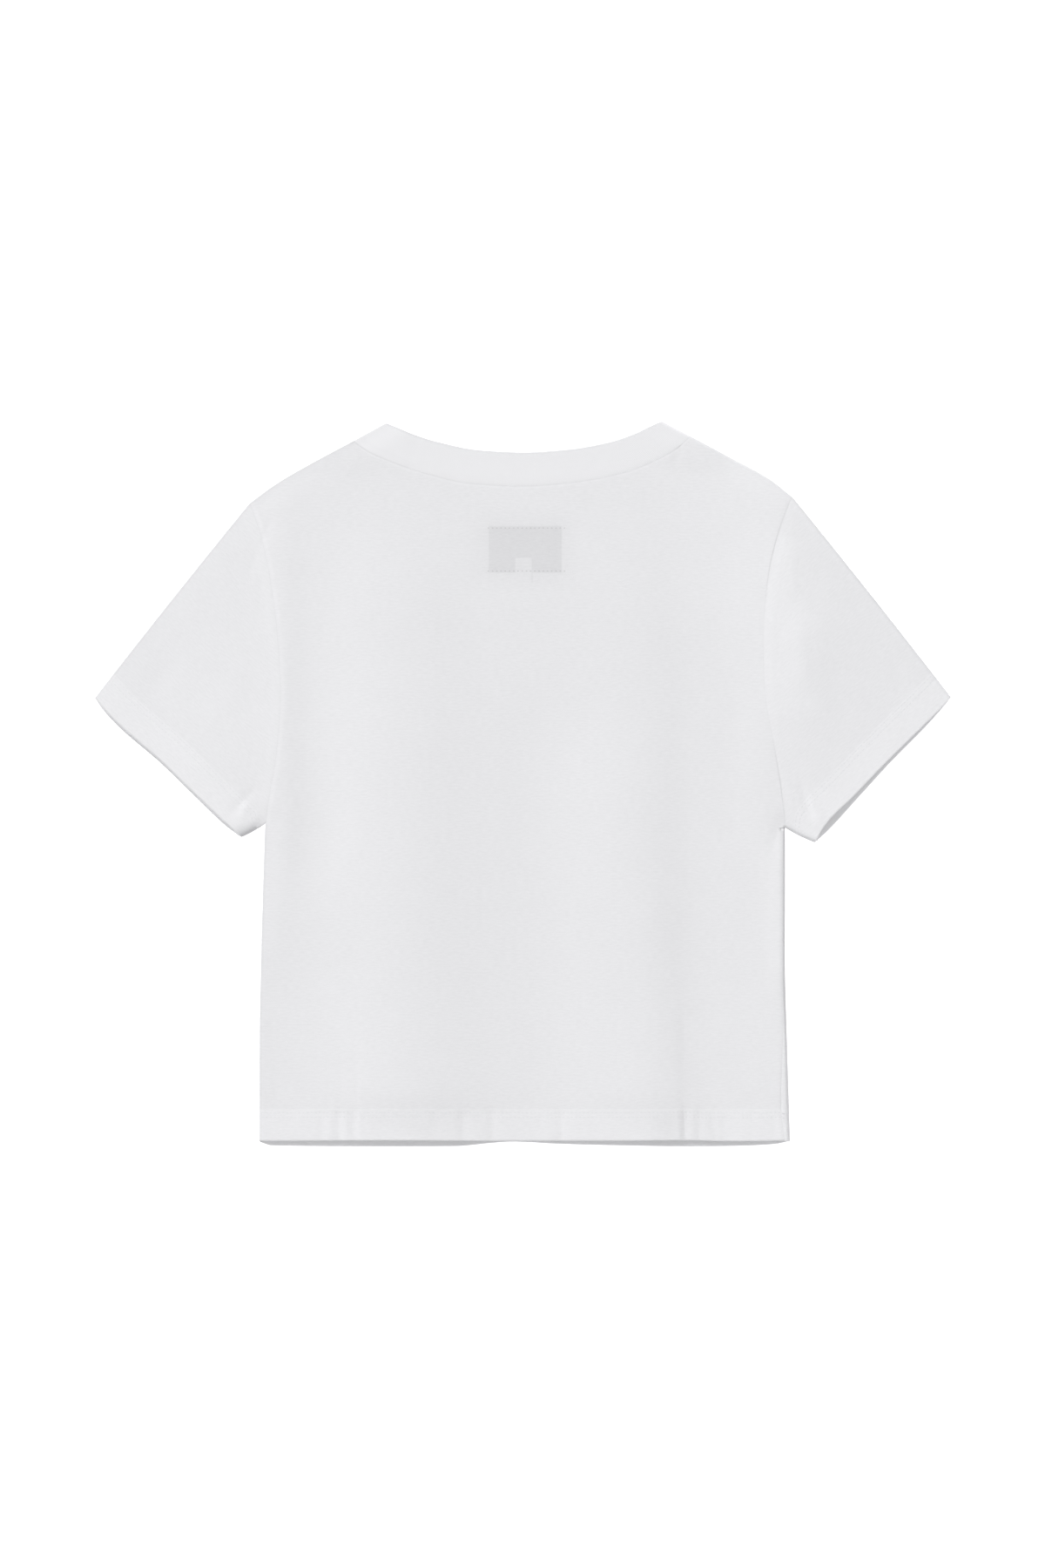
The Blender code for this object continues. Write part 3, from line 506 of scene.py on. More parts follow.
def neck_point(across, layer, line):
    """Points of the band's seam or free edge, a share of the way across the neck."""
    left, right = (CORNER_LEFT, CORNER_RIGHT) if line == "seam" else (POINT_LEFT, POINT_RIGHT)
    shares = column(NECK, NECK_COLUMNS, "across")
    ys = column(NECK, NECK_COLUMNS, layer + "_" + line + "_y")
    return np.stack((lerp(left, right, across), smooth(across, shares, ys)), axis=-1)


def cuff_point(across, side, layer):
    """Points of a cuff's edge, a share of the way from its top fold to its underarm."""
    names = ("across", layer + "_x", layer + "_y")
    return curve(across, *(column(CUFFS[side], CUFF_COLUMNS, name) for name in names))


def sleeve_fold(share, side, which):
    """Folded top or underarm edge of a sleeve, from armhole to cuff, bowed slightly outwards."""
    start = body_edge(TIP_AT if which == "top" else ARMPIT_AT, side)
    end = cuff_point(0.0 if which == "top" else 1.0, side, "upper")
    share = np.asarray(share)[..., None]
    run = (end - start) / np.linalg.norm(end - start)
    outward = np.array((-run[1], run[0])) * (1.0 if (side == "left") == (which == "under") else -1.0)
    return lerp(start, end, share) + outward * SLEEVE_BOW * 4.0 * share * (1.0 - share)


def shoulder_line(side, count):
    """Evenly spaced points over a shoulder, from the armhole tip to the neck point."""
    xs, ys = side_line(SHOULDER, side)
    knots = lengths_along(xs, ys)
    return curve(np.linspace(0.0, knots[-1], count), knots, xs, ys)


OUTLINE_STEPS = 90            # straight steps along each folded outline


def outline_segments():
    """Start and run of every step of the folded edges, the same way round on both sides."""
    starts = []
    runs = []
    for side in ("left", "right"):
        flank = body_edge(np.linspace(0.0, ARMPIT_AT, OUTLINE_STEPS), side)
        flank = np.concatenate((flank[:1] - (0.0, HEM_DEPTH), flank))
        underarm = sleeve_fold(np.linspace(0.0, 1.0, OUTLINE_STEPS), side, "under")
        sleeve = sleeve_fold(np.linspace(1.0, 0.0, OUTLINE_STEPS), side, "top")
        upper = np.concatenate((sleeve, shoulder_line(side, OUTLINE_STEPS)[1:]))
        for line in (np.concatenate((flank, underarm[1:])), upper):
            line = line if side == "right" else line[::-1]
            starts.append(line[:-1])
            runs.append(np.diff(line, axis=0))
    return np.concatenate(starts), np.concatenate(runs)


SEGMENT_START, SEGMENT_RUN = outline_segments()
SEGMENT_SQUARE = (SEGMENT_RUN ** 2).sum(axis=1)
CHUNK = 4000                  # points whose distances are worked out together


def edge_distance(x, y):
    """Distance to the nearest folded outline, for arrays of places."""
    flat = np.stack((np.ravel(x), np.ravel(y)), axis=1)
    nearest = np.empty(len(flat))
    for first in range(0, len(flat), CHUNK):
        away = flat[first:first + CHUNK, None, :] - SEGMENT_START
        share = np.clip((away * SEGMENT_RUN).sum(axis=2) / SEGMENT_SQUARE, 0.0, 1.0)
        away -= SEGMENT_RUN * share[..., None]
        nearest[first:first + CHUNK] = np.sqrt((away ** 2).sum(axis=2).min(axis=1))
    return nearest.reshape(np.shape(x))


# ---- heights ---------------------------------------------------------------------------
def fold_height(x, y):
    """Sum of the broad folds."""
    total = np.zeros(np.shape(x))
    for _, top_x, top_y, low_x, low_y, left_reach, right_reach, height in FOLDS:
        down = (top_y - y) / (top_y - low_y)
        ends = ease(down / FOLD_END)
        if low_y > HEM_FOLDS_BELOW:
            ends = ends * ease((1.0 - down) / FOLD_END)
        off = x - lerp(top_x, low_x, np.minimum(down, 1.0))
        total += height * ends * bump_shape(off / np.where(off < 0.0, left_reach, right_reach))
    return total


def crown(x, y, distance):
    """Height of the upper layer's outer skin, before its folded edges round down."""
    share = lerp(HEM_LOFT_LEFT, 1.0, ease((y - BODY[0][2]) / HEM_RISE))
    puffed = ease((x - PUFFED_X[0]) / PUFFED_X[1]) * ease((PUFFED_Y[0] - y) / PUFFED_Y[1])
    rise = np.maximum(ease(distance / LOFT_REACH), puffed)
    flat = ease((FLAT_X[0] - x) / FLAT_X[1]) * ease(np.abs(y - FLAT_Y[0]) / FLAT_Y[1])
    loft = LOFT * lerp(1.0, LEFT_LOFT, flat)
    return FOLD_TOP + (loft + fold_height(x, y)) * share * rise


def skin(plan, layer, seam_height, at_fold=False):
    """Outer skin of the upper or lower layer over plan points, and their edge distances.

    Points that lie on the folded outline are named by at_fold, because a square fold rises so
    steeply that even a hair's distance would leave it open.
    """
    x, y = plan[..., 0], plan[..., 1]
    distance = np.where(at_fold, 0.0, edge_distance(x, y))
    turn = 1.0 - np.minimum(distance / FOLD_REACH, 1.0)
    underarm = ease((np.abs(x) - UNDERARM_X[0]) / UNDERARM_X[1]) * ease(-y / UNDERARM_Y_REACH)
    power = lerp(PRESSED_LEFT, PRESSED_RIGHT, ease(0.5 + x / PRESSED_CHANGE))
    power = lerp(power, PRESSED_UNDERARM, underarm)
    level = (1.0 - turn ** power) ** (1.0 / power)
    if layer == "lower":
        z = seam_height * (1.0 - level)
    else:
        z = seam_height + (crown(x, y, distance) - seam_height) * level
    return np.stack((x, y, z), axis=-1), distance


def crease_height(x, y, creases):
    """Sum of a piece's own creases."""
    total = np.zeros(np.shape(x))
    for start_x, start_y, end_x, end_y, left_reach, right_reach, height in creases:
        run_x, run_y = end_x - start_x, end_y - start_y
        length = math.hypot(run_x, run_y)
        along = ((x - start_x) * run_x + (y - start_y) * run_y) / length ** 2
        off = ((y - start_y) * run_x - (x - start_x) * run_y) / length
        ends = ease(along / CREASE_END) * ease((1.0 - along) / CREASE_END)
        total += height * ends * bump_shape(off / np.where(off < 0.0, left_reach, right_reach))
    return total


def pucker_height(x, from_edge, puckers):
    """Sum of the small puckers across a turned hem."""
    total = np.zeros(np.shape(x))
    fade = 1.0 - ease((from_edge - HEM_DEPTH + PUCKER_END) / PUCKER_RISE)
    for place, left_reach, right_reach, height in puckers:
        reach = np.where(x < place, left_reach, right_reach)
        total += height * fade * bump_shape((x - place) / reach)
    return total


def painted_shading(x, y, distance):
    """Painted shade of the cloth, painted light where below 0, by its place and its distance from a folded
    edge.
    """
    total = np.zeros(np.shape(x))
    for _, centre_x, centre_y, half_x, half_y, reach, share in SHADING_PATCHES:
        inside = ease(2.0 - 2.0 * np.abs(x - centre_x) / half_x)
        inside = inside * ease(2.0 - 2.0 * np.abs(y - centre_y) / half_y)
        total += share * inside * bump_shape(distance / reach)
    return total


def seam_height_at(from_seam, name):
    """How much lower the cloth lies beside a seam."""
    depth, reach, pinch = SEAMS[name]
    beside = 1.0 - np.clip(from_seam / reach, 0.0, 1.0)
    edge = 1.0 - np.clip(from_seam / PINCH_REACH, 0.0, 1.0)
    return -depth * beside ** 2 - pinch * edge ** 2


def needle_height(from_edge, needles):
    """Grooves along the needle rows, and the step where the turn-up ends."""
    total = TURN_STEP * (1.0 - ease((from_edge - HEM_DEPTH + 0.5 * TURN_SHOWS) / TURN_SHOWS))
    for place in needles:
        total = total - NEEDLE_DEPTH * bump_shape((from_edge - place) / NEEDLE_REACH)
    return total


def in_turn_up(from_edge):
    """1 where the cloth is turned up and so doubled, 0 above."""
    return 1.0 - ease((from_edge - HEM_DEPTH) / TURN_FADES)


# ---- shells ----------------------------------------------------------------------------
def unit(vectors):
    """Vectors brought to length 1."""
    return vectors / np.maximum(np.linalg.norm(vectors, axis=-1, keepdims=True), 1e-12)


def grid_normals(points, ring, flip):
    """Unit normals of a grid of points, whose rows may be closed rings."""
    if ring:
        along = np.roll(points, -1, axis=1) - np.roll(points, 1, axis=1)
    else:
        along = np.gradient(points, axis=1)
    normals = unit(np.cross(along, np.gradient(points, axis=0)))
    return -normals if flip else normals


def row_lengths(points):
    """Length along each row, from its first point."""
    steps = np.linalg.norm(np.diff(points, axis=1), axis=2)
    return np.concatenate((np.zeros((len(points), 1)), np.cumsum(steps, axis=1)), axis=1)


def column_lengths(points):
    """Length along each column, from its first point and back from its last one."""
    up = row_lengths(points.transpose(1, 0, 2)).T
    return up, up[-1:] - up


def rows_at(points, rows, places):
    """The rows of a grid that lie nearest to given places."""
    return [points[int(np.argmin(np.abs(rows - place)))] for place in places]


def tube(upper, lower):
    """Closed rings of points or values: along the upper layer and back along the lower one."""
    return np.concatenate((upper, lower[:, -2:0:-1]), axis=1)


def tube_skin(upper_plan, lower_plan, at_fold=False):
    """Outer skin of a flattened tube, and the distances of its points from the folded edges."""
    upper, upper_distance = skin(upper_plan, "upper", 0.5 * FOLD_TOP, at_fold)
    lower, lower_distance = skin(lower_plan, "lower", 0.5 * FOLD_TOP, at_fold)
    return tube(upper, lower), tube(upper_distance, lower_distance)


TURN_ANGLES = np.radians((60.0, 30.0, 0.0, -30.0, -60.0))


def turn_edge(points, normals, count):
    """Turn the first rows of a grid in and back: doubled cloth with a round edge."""
    outward = unit(points[0] - points[1])
    centre = points[0] - TURN_RADIUS * normals[0]
    arc = [centre + TURN_RADIUS * (normals[0] * math.sin(a) + outward * math.cos(a))
           for a in TURN_ANGLES]
    inner = points[:count] - 2.0 * TURN_RADIUS * normals[:count]
    return np.concatenate((inner[::-1], np.array(arc[::-1]), points))


def turned_rows(values, count):
    """Values of a grid's rows, repeated for the rows that turn_edge adds."""
    arc = np.repeat(values[:1], len(TURN_ANGLES), axis=0)
    return np.concatenate((values[:count][::-1], arc, values))


def shell(name, points, ring, flip, cloth_uv, marks, material, thickness=CLOTH):
    """Object from a grid of skin points, thickened inwards, with its cloth directions and marks."""
    rows, count = points.shape[:2]
    j, i = np.meshgrid(np.arange(rows - 1), np.arange(count if ring else count - 1), indexing="ij")
    after = (i + 1) % count
    faces = np.stack((j * count + i, j * count + after, (j + 1) * count + after, (j + 1) * count + i),
                     axis=-1).reshape(-1, 4)
    if flip:
        faces = faces[:, ::-1]
    return cloth_object(name, points.reshape(-1, 3), faces, cloth_uv.reshape(-1, 2),
                        marks.reshape(-1, len(MARKS)), material, thickness)


def turned_shell(name, points, normals, count, ring, flip, cloth_uv, marks, material,
                 thickness=CLOTH):
    """Shell whose first rows, as many as count says, are turned in and doubled."""
    return shell(name, turn_edge(points, normals, count), ring, flip, turned_rows(cloth_uv, count),
                 turned_rows(marks, count), material, thickness)


MARKS = ("doubled", "painted_shading")     # what the cloth materials read at each point
SAME_POINT = 1e-6             # points this close are one


def add_object(name, data):
    """New object in the scene."""
    item = bpy.data.objects.new(name, data)
    bpy.context.scene.collection.objects.link(item)
    return item


def cloth_object(name, vertices, faces, cloth_uv, marks, material, thickness):
    """Mesh object with its marks and its cloth directions."""
    mesh = bpy.data.meshes.new(name)
    mesh.from_pydata(vertices.tolist(), [], faces.tolist())
    for k, mark in enumerate(MARKS):
        values = marks[:, k].astype(np.float32)
        mesh.attributes.new(mark, "FLOAT", "POINT").data.foreach_set("value", values)
    corners = np.empty(len(mesh.loops), dtype=np.int32)
    mesh.loops.foreach_get("vertex_index", corners)
    layer = mesh.uv_layers.new(name="cloth")
    layer.data.foreach_set("uv", cloth_uv[corners].astype(np.float32).ravel())
    tidy_mesh(mesh)
    mesh.materials.append(material)
    item = add_object(name, mesh)
    if thickness:
        solidify = item.modifiers.new("cloth_thickness", "SOLIDIFY")
        solidify.thickness = thickness
        solidify.offset = -1.0
    return item


def tidy_mesh(mesh):
    """Join points that fall together, drop faces that have no area, and keep cut edges crisp."""
    work = bmesh.new()
    work.from_mesh(mesh)
    bmesh.ops.remove_doubles(work, verts=work.verts[:], dist=SAME_POINT)
    bmesh.ops.dissolve_degenerate(work, edges=work.edges[:], dist=SAME_POINT)
    for edge in work.edges:
        edge.smooth = not edge.is_boundary
    for face in work.faces:
        face.smooth = True
    work.to_mesh(mesh)
    work.free()


# ---- body panels -----------------------------------------------------------------------
HEM_ROWS = (0.0009, 0.0013, 0.0021, 0.0035, 0.0055, 0.0080, 0.0105, 0.0130, 0.0146, 0.0153, 0.0158,
            0.0164, 0.0170, 0.0176, 0.0184, 0.0191, 0.0198, 0.0204, 0.0210, 0.0214, 0.0218,
            0.0222, 0.0228, 0.0240, 0.0262)
HEM_TURNED = 21               # rows of the panel that lie inside the turn-up
BELOW_ARMPIT = 0.0004         # distance of the last row below the armpit from it
SEAM_STEPS = (0.0006, 0.0014, 0.0024, 0.0038, 0.0058)    # rows and columns beside a seam


def armhole_rows():
    """Lengths up from the hem along the armhole, which panels and sleeves share."""
    low = list(ARMPIT_AT + FOLD_REACH * ROLL_STEPS)
    high = list(TIP_AT - TIP_ROLL * FOLD_REACH * ROLL_STEPS[::-1])
    before = [high[0] - s for s in reversed(SEAM_STEPS)]
    return low + spread(low[-1], before[0]) + before + high


def body_rows():
    """Lengths up from the hem at which the panels have a row."""
    last = ARMPIT_AT - BELOW_ARMPIT
    rows = [TURN_CENTRE, *HEM_ROWS, *spread(HEM_ROWS[-1], last), last]
    return np.array(rows + armhole_rows())


def fold_shares(width):
    """Shares of a width, from a fold: close together where the cloth rounds over it."""
    return list(FOLD_REACH * ROLL_STEPS / width) + [(FOLD_REACH + s) / width for s in SEAM_STEPS]


def neck_shares():
    """Shares across the neck, close together where the seam rounds over the shoulder fold."""
    width = CORNER_RIGHT - CORNER_LEFT
    roll = fold_shares(width)
    return np.array(roll + spread(roll[-1], 1.0 - roll[-1], CELL / width) + [1.0 - s for s in roll[::-1]])


def body_columns():
    """Shares across the body at which the panels have a column, and the two neck corners."""
    tip_left, tip_right = BODY[-1][1], BODY[-1][3]
    width = tip_right - tip_left
    corners = ((CORNER_LEFT - tip_left) / width, (CORNER_RIGHT - tip_left) / width)
    roll = fold_shares(width)
    left = roll + spread(roll[-1], corners[0], CELL / width)
    right = spread(corners[1], 1.0 - roll[-1], CELL / width) + [1.0 - s for s in roll[::-1]]
    neck = lerp(corners[0], corners[1], neck_shares())
    return np.array(left + list(neck) + right), corners


def right_inset(y):
    """How far in from the right fold the side seam lies."""
    return smooth(y, column(RIGHT_WRAP, WRAP_COLUMNS, "y"), column(RIGHT_WRAP, WRAP_COLUMNS, "inset"))


def top_edge_y(shares, corners, tip_x, layer):
    """Plan height of a panel's top edge: shoulder, neck seam, shoulder."""
    across = np.clip((shares - corners[0]) / (corners[1] - corners[0]), 0.0, 1.0)
    neck = neck_point(across, layer, "seam")[:, 1]
    sides = np.where(shares < corners[0], shoulder_y(tip_x, "left"), shoulder_y(tip_x, "right"))
    return np.where((shares < corners[0]) | (shares > corners[1]), sides, neck)


def gaping(y):
    """How much the right armhole seam gapes: most near its two ends."""
    return sum(bump_shape((y - middle) / reach) for middle, reach in GAPING_PLACES)


def panel_plan(layer):
    """Plan grid of one panel between its seams."""
    rows = body_rows()
    shares, corners = body_columns()
    above = rows >= ARMPIT_AT
    left = body_edge(rows, "left", layer)
    right = body_edge(rows, "right", layer)
    left[above, 0] += HALF_SEAM
    right[above, 0] -= HALF_SEAM + SEAM_GAPE * gaping(right[above, 1])
    if layer == "back":
        right[~above, 0] -= right_inset(right[~above, 1]) + 2.0 * HALF_SEAM + SIDE_GAPE
    plan = lerp(left[:, None, :], right[:, None, :], shares[None, :, None])
    halfway = 0.5 * ARMPIT_AT
    hem_x = lerp(HEM[0][0], HEM[-1][0], shares)
    hem_y = smooth(hem_x, column(HEM, HEM_COLUMNS, "x"), column(HEM, HEM_COLUMNS, layer + "_y"))
    low = lerp(body_edge(0.0, "left"), body_edge(0.0, "right"), shares[:, None])
    tip = lerp(body_edge(TIP_AT, "left"), body_edge(TIP_AT, "right"), shares[:, None])
    hem_pull = (1.0 - ease(rows / halfway))[:, None] * (hem_y - low[:, 1])
    share = np.maximum(rows - halfway, 0.0) / (TIP_AT - halfway)
    top_pull = (share ** 2)[:, None] * (top_edge_y(shares, corners, tip[:, 0], layer) - tip[:, 1])
    plan[..., 1] += hem_pull + top_pull
    in_neck = (shares >= corners[0]) & (shares <= corners[1])
    near_top = np.clip(1.0 - (TIP_AT - rows) / NECK_EASE, 0.0, 1.0)
    plan[:, in_neck, 1] -= HALF_SEAM * near_top[:, None]
    return plan, rows, in_neck


def on_fold(rows, in_neck):
    """Points of a panel that lie on the folded outline: its left side and its two shoulders."""
    on = np.zeros((len(rows), len(in_neck)), dtype=bool)
    on[rows <= ARMPIT_AT, 0] = True
    on[-1] = ~(in_neck & np.roll(in_neck, 1) & np.roll(in_neck, -1))
    return on


def panel_relief(points, distance, rows, in_neck, layer):
    """Creases, puckers, needle rows and seams of a panel, as one height along its normals."""
    back = layer == "back"
    clear = ease(distance / CREASE_CLEAR)
    from_edge = np.repeat(rows[:, None], points.shape[1], axis=1)
    relief = clear * crease_height(points[..., 0], points[..., 1], BACK_CREASES if back else FRONT_CREASES)
    relief += clear * pucker_height(points[..., 0], from_edge, BACK_PUCKERS if back else FRONT_PUCKERS)
    relief += ease(distance / FOLD_REACH) * needle_height(from_edge, HEM_NEEDLES)
    above = (rows >= ARMPIT_AT)[:, None]
    across = row_lengths(points)
    relief += np.where(above, seam_height_at(across, "armhole_body"), seam_height_at(across, "side"))
    if back:
        from_right = across[:, -1:] - across
        relief += np.where(above, seam_height_at(from_right, "armhole_body"),
                           seam_height_at(from_right, "side"))
    _, from_top = column_lengths(points)
    relief += np.where(in_neck[None, :], seam_height_at(from_top, "neck_body"),
                       seam_height_at(from_top, "shoulder"))
    return relief


def back_panel(material):
    """Back of the garment, which shows from above."""
    plan, rows, in_neck = panel_plan("back")
    points, distance = skin(plan, "upper", 0.5 * FOLD_TOP + HALF_SEAM, on_fold(rows, in_neck))
    normals = grid_normals(points, False, False)
    points = points + normals * panel_relief(points, distance, rows, in_neck, "back")[..., None]
    normals = grid_normals(points, False, False)
    doubled = np.repeat(in_turn_up(rows)[:, None], len(in_neck), axis=1)
    # Painted shade and light along the edges and in boxes, and painted shade and highlights along the
    # seams.
    shade_paint = painted_shading(plan[..., 0], plan[..., 1], distance)
    _, below = column_lengths(points)
    across = row_lengths(points)
    above = (rows >= ARMPIT_AT)[:, None]
    gapes = above * (ARMHOLE_SHADE_LEAST + gaping(plan[..., 1]))
    shade_paint += in_neck * (NECK_SHADE * bump_shape(below / SHADE_REACH)
                      - NECK_PAINTED_HIGHLIGHT * bump_shape((below - NECK_LINE) / (NECK_LINE - 0.5 * SHADE_REACH)))
    shade_paint += ARMHOLE_SHADE * gapes * bump_shape((across[:, -1:] - across) / SHADE_REACH)
    shade_paint += above * (LEFT_ARMHOLE_SHADE * bump_shape(across / SHADE_REACH)
                    - ALLOWANCE_PAINTED_HIGHLIGHT * bump_shape((across - ALLOWANCE_LINE) / ALLOWANCE_LINE))
    marks = np.stack((doubled, shade_paint), axis=-1)
    item = turned_shell("back_cloth", points, normals, HEM_TURNED, False, False, plan, marks, material)
    return item, rows_at(points, rows, HEM_NEEDLES)


# Shares of the wrap's width at which the front panel has a column round the right fold.
WRAP_SHARES = np.array((0.03, 0.09, 0.18, 0.30, 0.45, 0.62, 0.80, 0.92, 1.0))


def front_panel(material):
    """Front of the garment, which rests on the surface and wraps round the right side."""
    plan, rows, in_neck = panel_plan("front")
    seam_height = 0.5 * FOLD_TOP - HALF_SEAM
    lower, lower_distance = skin(plan, "lower", seam_height, on_fold(rows, in_neck))
    edge = plan[:, -1:, :]
    inset = np.where(rows < ARMPIT_AT, right_inset(edge[:, 0, 1]), 0.0)
    wrapped = inset[:, None] * WRAP_SHARES
    wrap_plan = edge - np.stack((wrapped, np.zeros(wrapped.shape)), axis=-1)
    upper, upper_distance = skin(wrap_plan, "upper", seam_height)
    closed = rows >= ARMPIT_AT
    upper[closed] = lower[closed, -1:, :]
    points = np.concatenate((lower, upper), axis=1)
    distance = np.concatenate((lower_distance, upper_distance), axis=1)
    in_neck = np.concatenate((in_neck, np.zeros(len(WRAP_SHARES), dtype=bool)))
    normals = grid_normals(points, False, True)
    relief = panel_relief(points, distance, rows, in_neck, "front")
    across = row_lengths(points)
    below = ~closed
    relief[below] += seam_height_at(across[below][:, -1:] - across[below], "side")
    relief[closed] += seam_height_at(across[closed][:, -1:] - across[closed], "armhole_body")
    points = points + normals * np.minimum(relief, 0.0)[..., None]
    points[closed, lower.shape[1]:] = points[closed, lower.shape[1] - 1][:, None, :]
    normals = grid_normals(points, False, True)
    normals[closed, lower.shape[1] - 1:] = normals[closed, lower.shape[1] - 2][:, None, :]
    doubled = np.repeat(in_turn_up(rows)[:, None], points.shape[1], axis=1)
    # Painted shade and light along the edges and in boxes.
    marks = np.stack((doubled, painted_shading(points[..., 0], points[..., 1], distance)), axis=-1)
    uv = np.concatenate((plan, 2.0 * edge - wrap_plan), axis=1)
    item = turned_shell("front_cloth", points, normals, HEM_TURNED, False, True, uv, marks, material)
    return item, rows_at(points, rows, HEM_NEEDLES)


# ---- sleeves ---------------------------------------------------------------------------
CUFF_ROWS = (0.0009, 0.0013, 0.0021, 0.0035, 0.0055, 0.0080, 0.0105, 0.0130, 0.0150, 0.0164, 0.0170,
             0.0176, 0.0182, 0.0190, 0.0197, 0.0203, 0.0209, 0.0214, 0.0218, 0.0222, 0.0228,
             0.0240, 0.0262)
NEAR_CUFF = np.array((TURN_CENTRE, *CUFF_ROWS))
CUFF_TURNED = 19              # rings that lie inside the turn-up
SLEEVE_RINGS = 52             # rings above it
ALLOWANCE = 0.0055            # width of the armhole seam allowance, which lies under the sleeve
ALLOWANCE_SHOWS = 0.45        # how much of it shows through


def sleeve_plan(side, layer, down, out):
    """Points of one layer of a sleeve: down from fold to underarm, out from armhole to cuff."""
    seam = body_edge(lerp(TIP_AT, ARMPIT_AT, down), side, "back" if layer == "upper" else "front")
    across = lerp(seam, cuff_point(down, side, layer), out[..., None])
    along = lerp(sleeve_fold(out, side, "top"), sleeve_fold(out, side, "under"), down[:, None])
    corners_in = lerp(body_edge(TIP_AT, side), body_edge(ARMPIT_AT, side), down[:, None])
    corners_out = lerp(cuff_point(0.0, side, layer), cuff_point(1.0, side, layer), down[:, None])
    return across + along - lerp(corners_in, corners_out, out[..., None])


def sleeve_layer(side, layer, down):
    """Plan grid of one layer from cuff to armhole, and each point's distance from the cuff."""
    ends = sleeve_plan(side, layer, down, np.array(((0.0,), (1.0,))) * np.ones(len(down)))
    length = np.linalg.norm(ends[1] - ends[0], axis=1)
    near = NEAR_CUFF
    scale = np.minimum(1.0, (1.0 - SLEEVE_LEAST) * length / near[-1])
    from_cuff = near[:, None] * scale
    rest = np.linspace(0.0, 1.0, SLEEVE_RINGS)[1:, None]
    rest = 1.0 - (1.0 - rest) ** RING_CROWDING
    from_cuff = np.concatenate((from_cuff, lerp(from_cuff[-1], length - HALF_SEAM, rest)))
    near_rest = lerp(near[-1], length, rest)
    return (sleeve_plan(side, layer, down, 1.0 - from_cuff / length),
            np.concatenate((np.repeat(near[:, None], len(down), axis=1), near_rest)))


def sleeve(side, material):
    """Short sleeve: a flattened tube from its turned cuff to the armhole seam."""
    flip = side == "right"
    down = (TIP_AT - np.array(armhole_rows()[::-1])) / (TIP_AT - ARMPIT_AT)
    upper_plan, upper_from = sleeve_layer(side, "upper", down)
    lower_plan, lower_from = sleeve_layer(side, "lower", down)
    points, distance = tube_skin(upper_plan, lower_plan)
    plan = tube(upper_plan, lower_plan)
    from_cuff = tube(upper_from, lower_from)
    is_upper = np.arange(points.shape[1]) < len(down)
    normals = grid_normals(points, True, flip)
    creases = crease_height(points[..., 0], points[..., 1], SLEEVE_CREASES[side])
    relief = ease(distance / CREASE_CLEAR) * np.where(is_upper, creases, -0.5 * np.abs(creases))
    relief += ease(distance / FOLD_REACH) * needle_height(from_cuff, CUFF_NEEDLES)
    _, from_seam = column_lengths(points)
    relief += seam_height_at(from_seam, "armhole_sleeve")
    relief = np.where(is_upper, relief, np.minimum(relief, 0.0))
    points = points + normals * relief[..., None]
    normals = grid_normals(points, True, flip)
    on_allowance = 1.0 - ease((from_seam - ALLOWANCE) / ALLOWANCE)
    doubled = np.maximum(in_turn_up(from_cuff), ALLOWANCE_SHOWS * on_allowance)
    # Painted shade and light along the edges and in boxes, and more of it along the cuff.
    shade_paint = painted_shading(points[..., 0], points[..., 1], distance)
    shade_paint += (1.0 - shade_paint) * CUFF_PAINTED_SHADE[side] * bump_shape(from_cuff / CUFF_SHADE_REACH)
    marks = np.stack((doubled, shade_paint), axis=-1)
    slant = body_edge(TIP_AT, side) - cuff_point(0.0, side, "upper")
    slant = slant / np.linalg.norm(slant)
    uv = np.stack((plan @ np.array((slant[1], -slant[0])), plan @ slant), axis=-1)
    item = turned_shell("sleeve_%s_cloth" % side, points, normals, CUFF_TURNED, True, flip, uv, marks,
                        material)
    return item, rows_at(points, NEAR_CUFF, CUFF_NEEDLES)


# ---- neck band -------------------------------------------------------------------------
BAND_SHARES = (0.0, 0.012, 0.030, 0.055, 0.090, 0.140, 0.200, 0.270, 0.340, 0.420, 0.520,
               0.640, 0.760, 0.860, 0.930, 1.0)
BAND_EDGE_SHADE = 1.50               # painted shade along the band's round free edge
BAND_EDGE_SHADE_REACH = 0.0014
BAND_LINE = 0.0056            # where the neck seam's allowance ends under the band's two ends
# Painted shade along that line.
BAND_LINE_SHADE = 0.20
BAND_ENDS = (0.055, 0.025)    # distance across at which the ends begin, and length to do so
BAND_JOIN = ((-0.0745, 0.2455), (-0.0788, 0.2345))   # seam that closes the band, on its left end
BAND_JOIN_REACH = 0.0012
BAND_JOIN_DEPTH = 0.00025


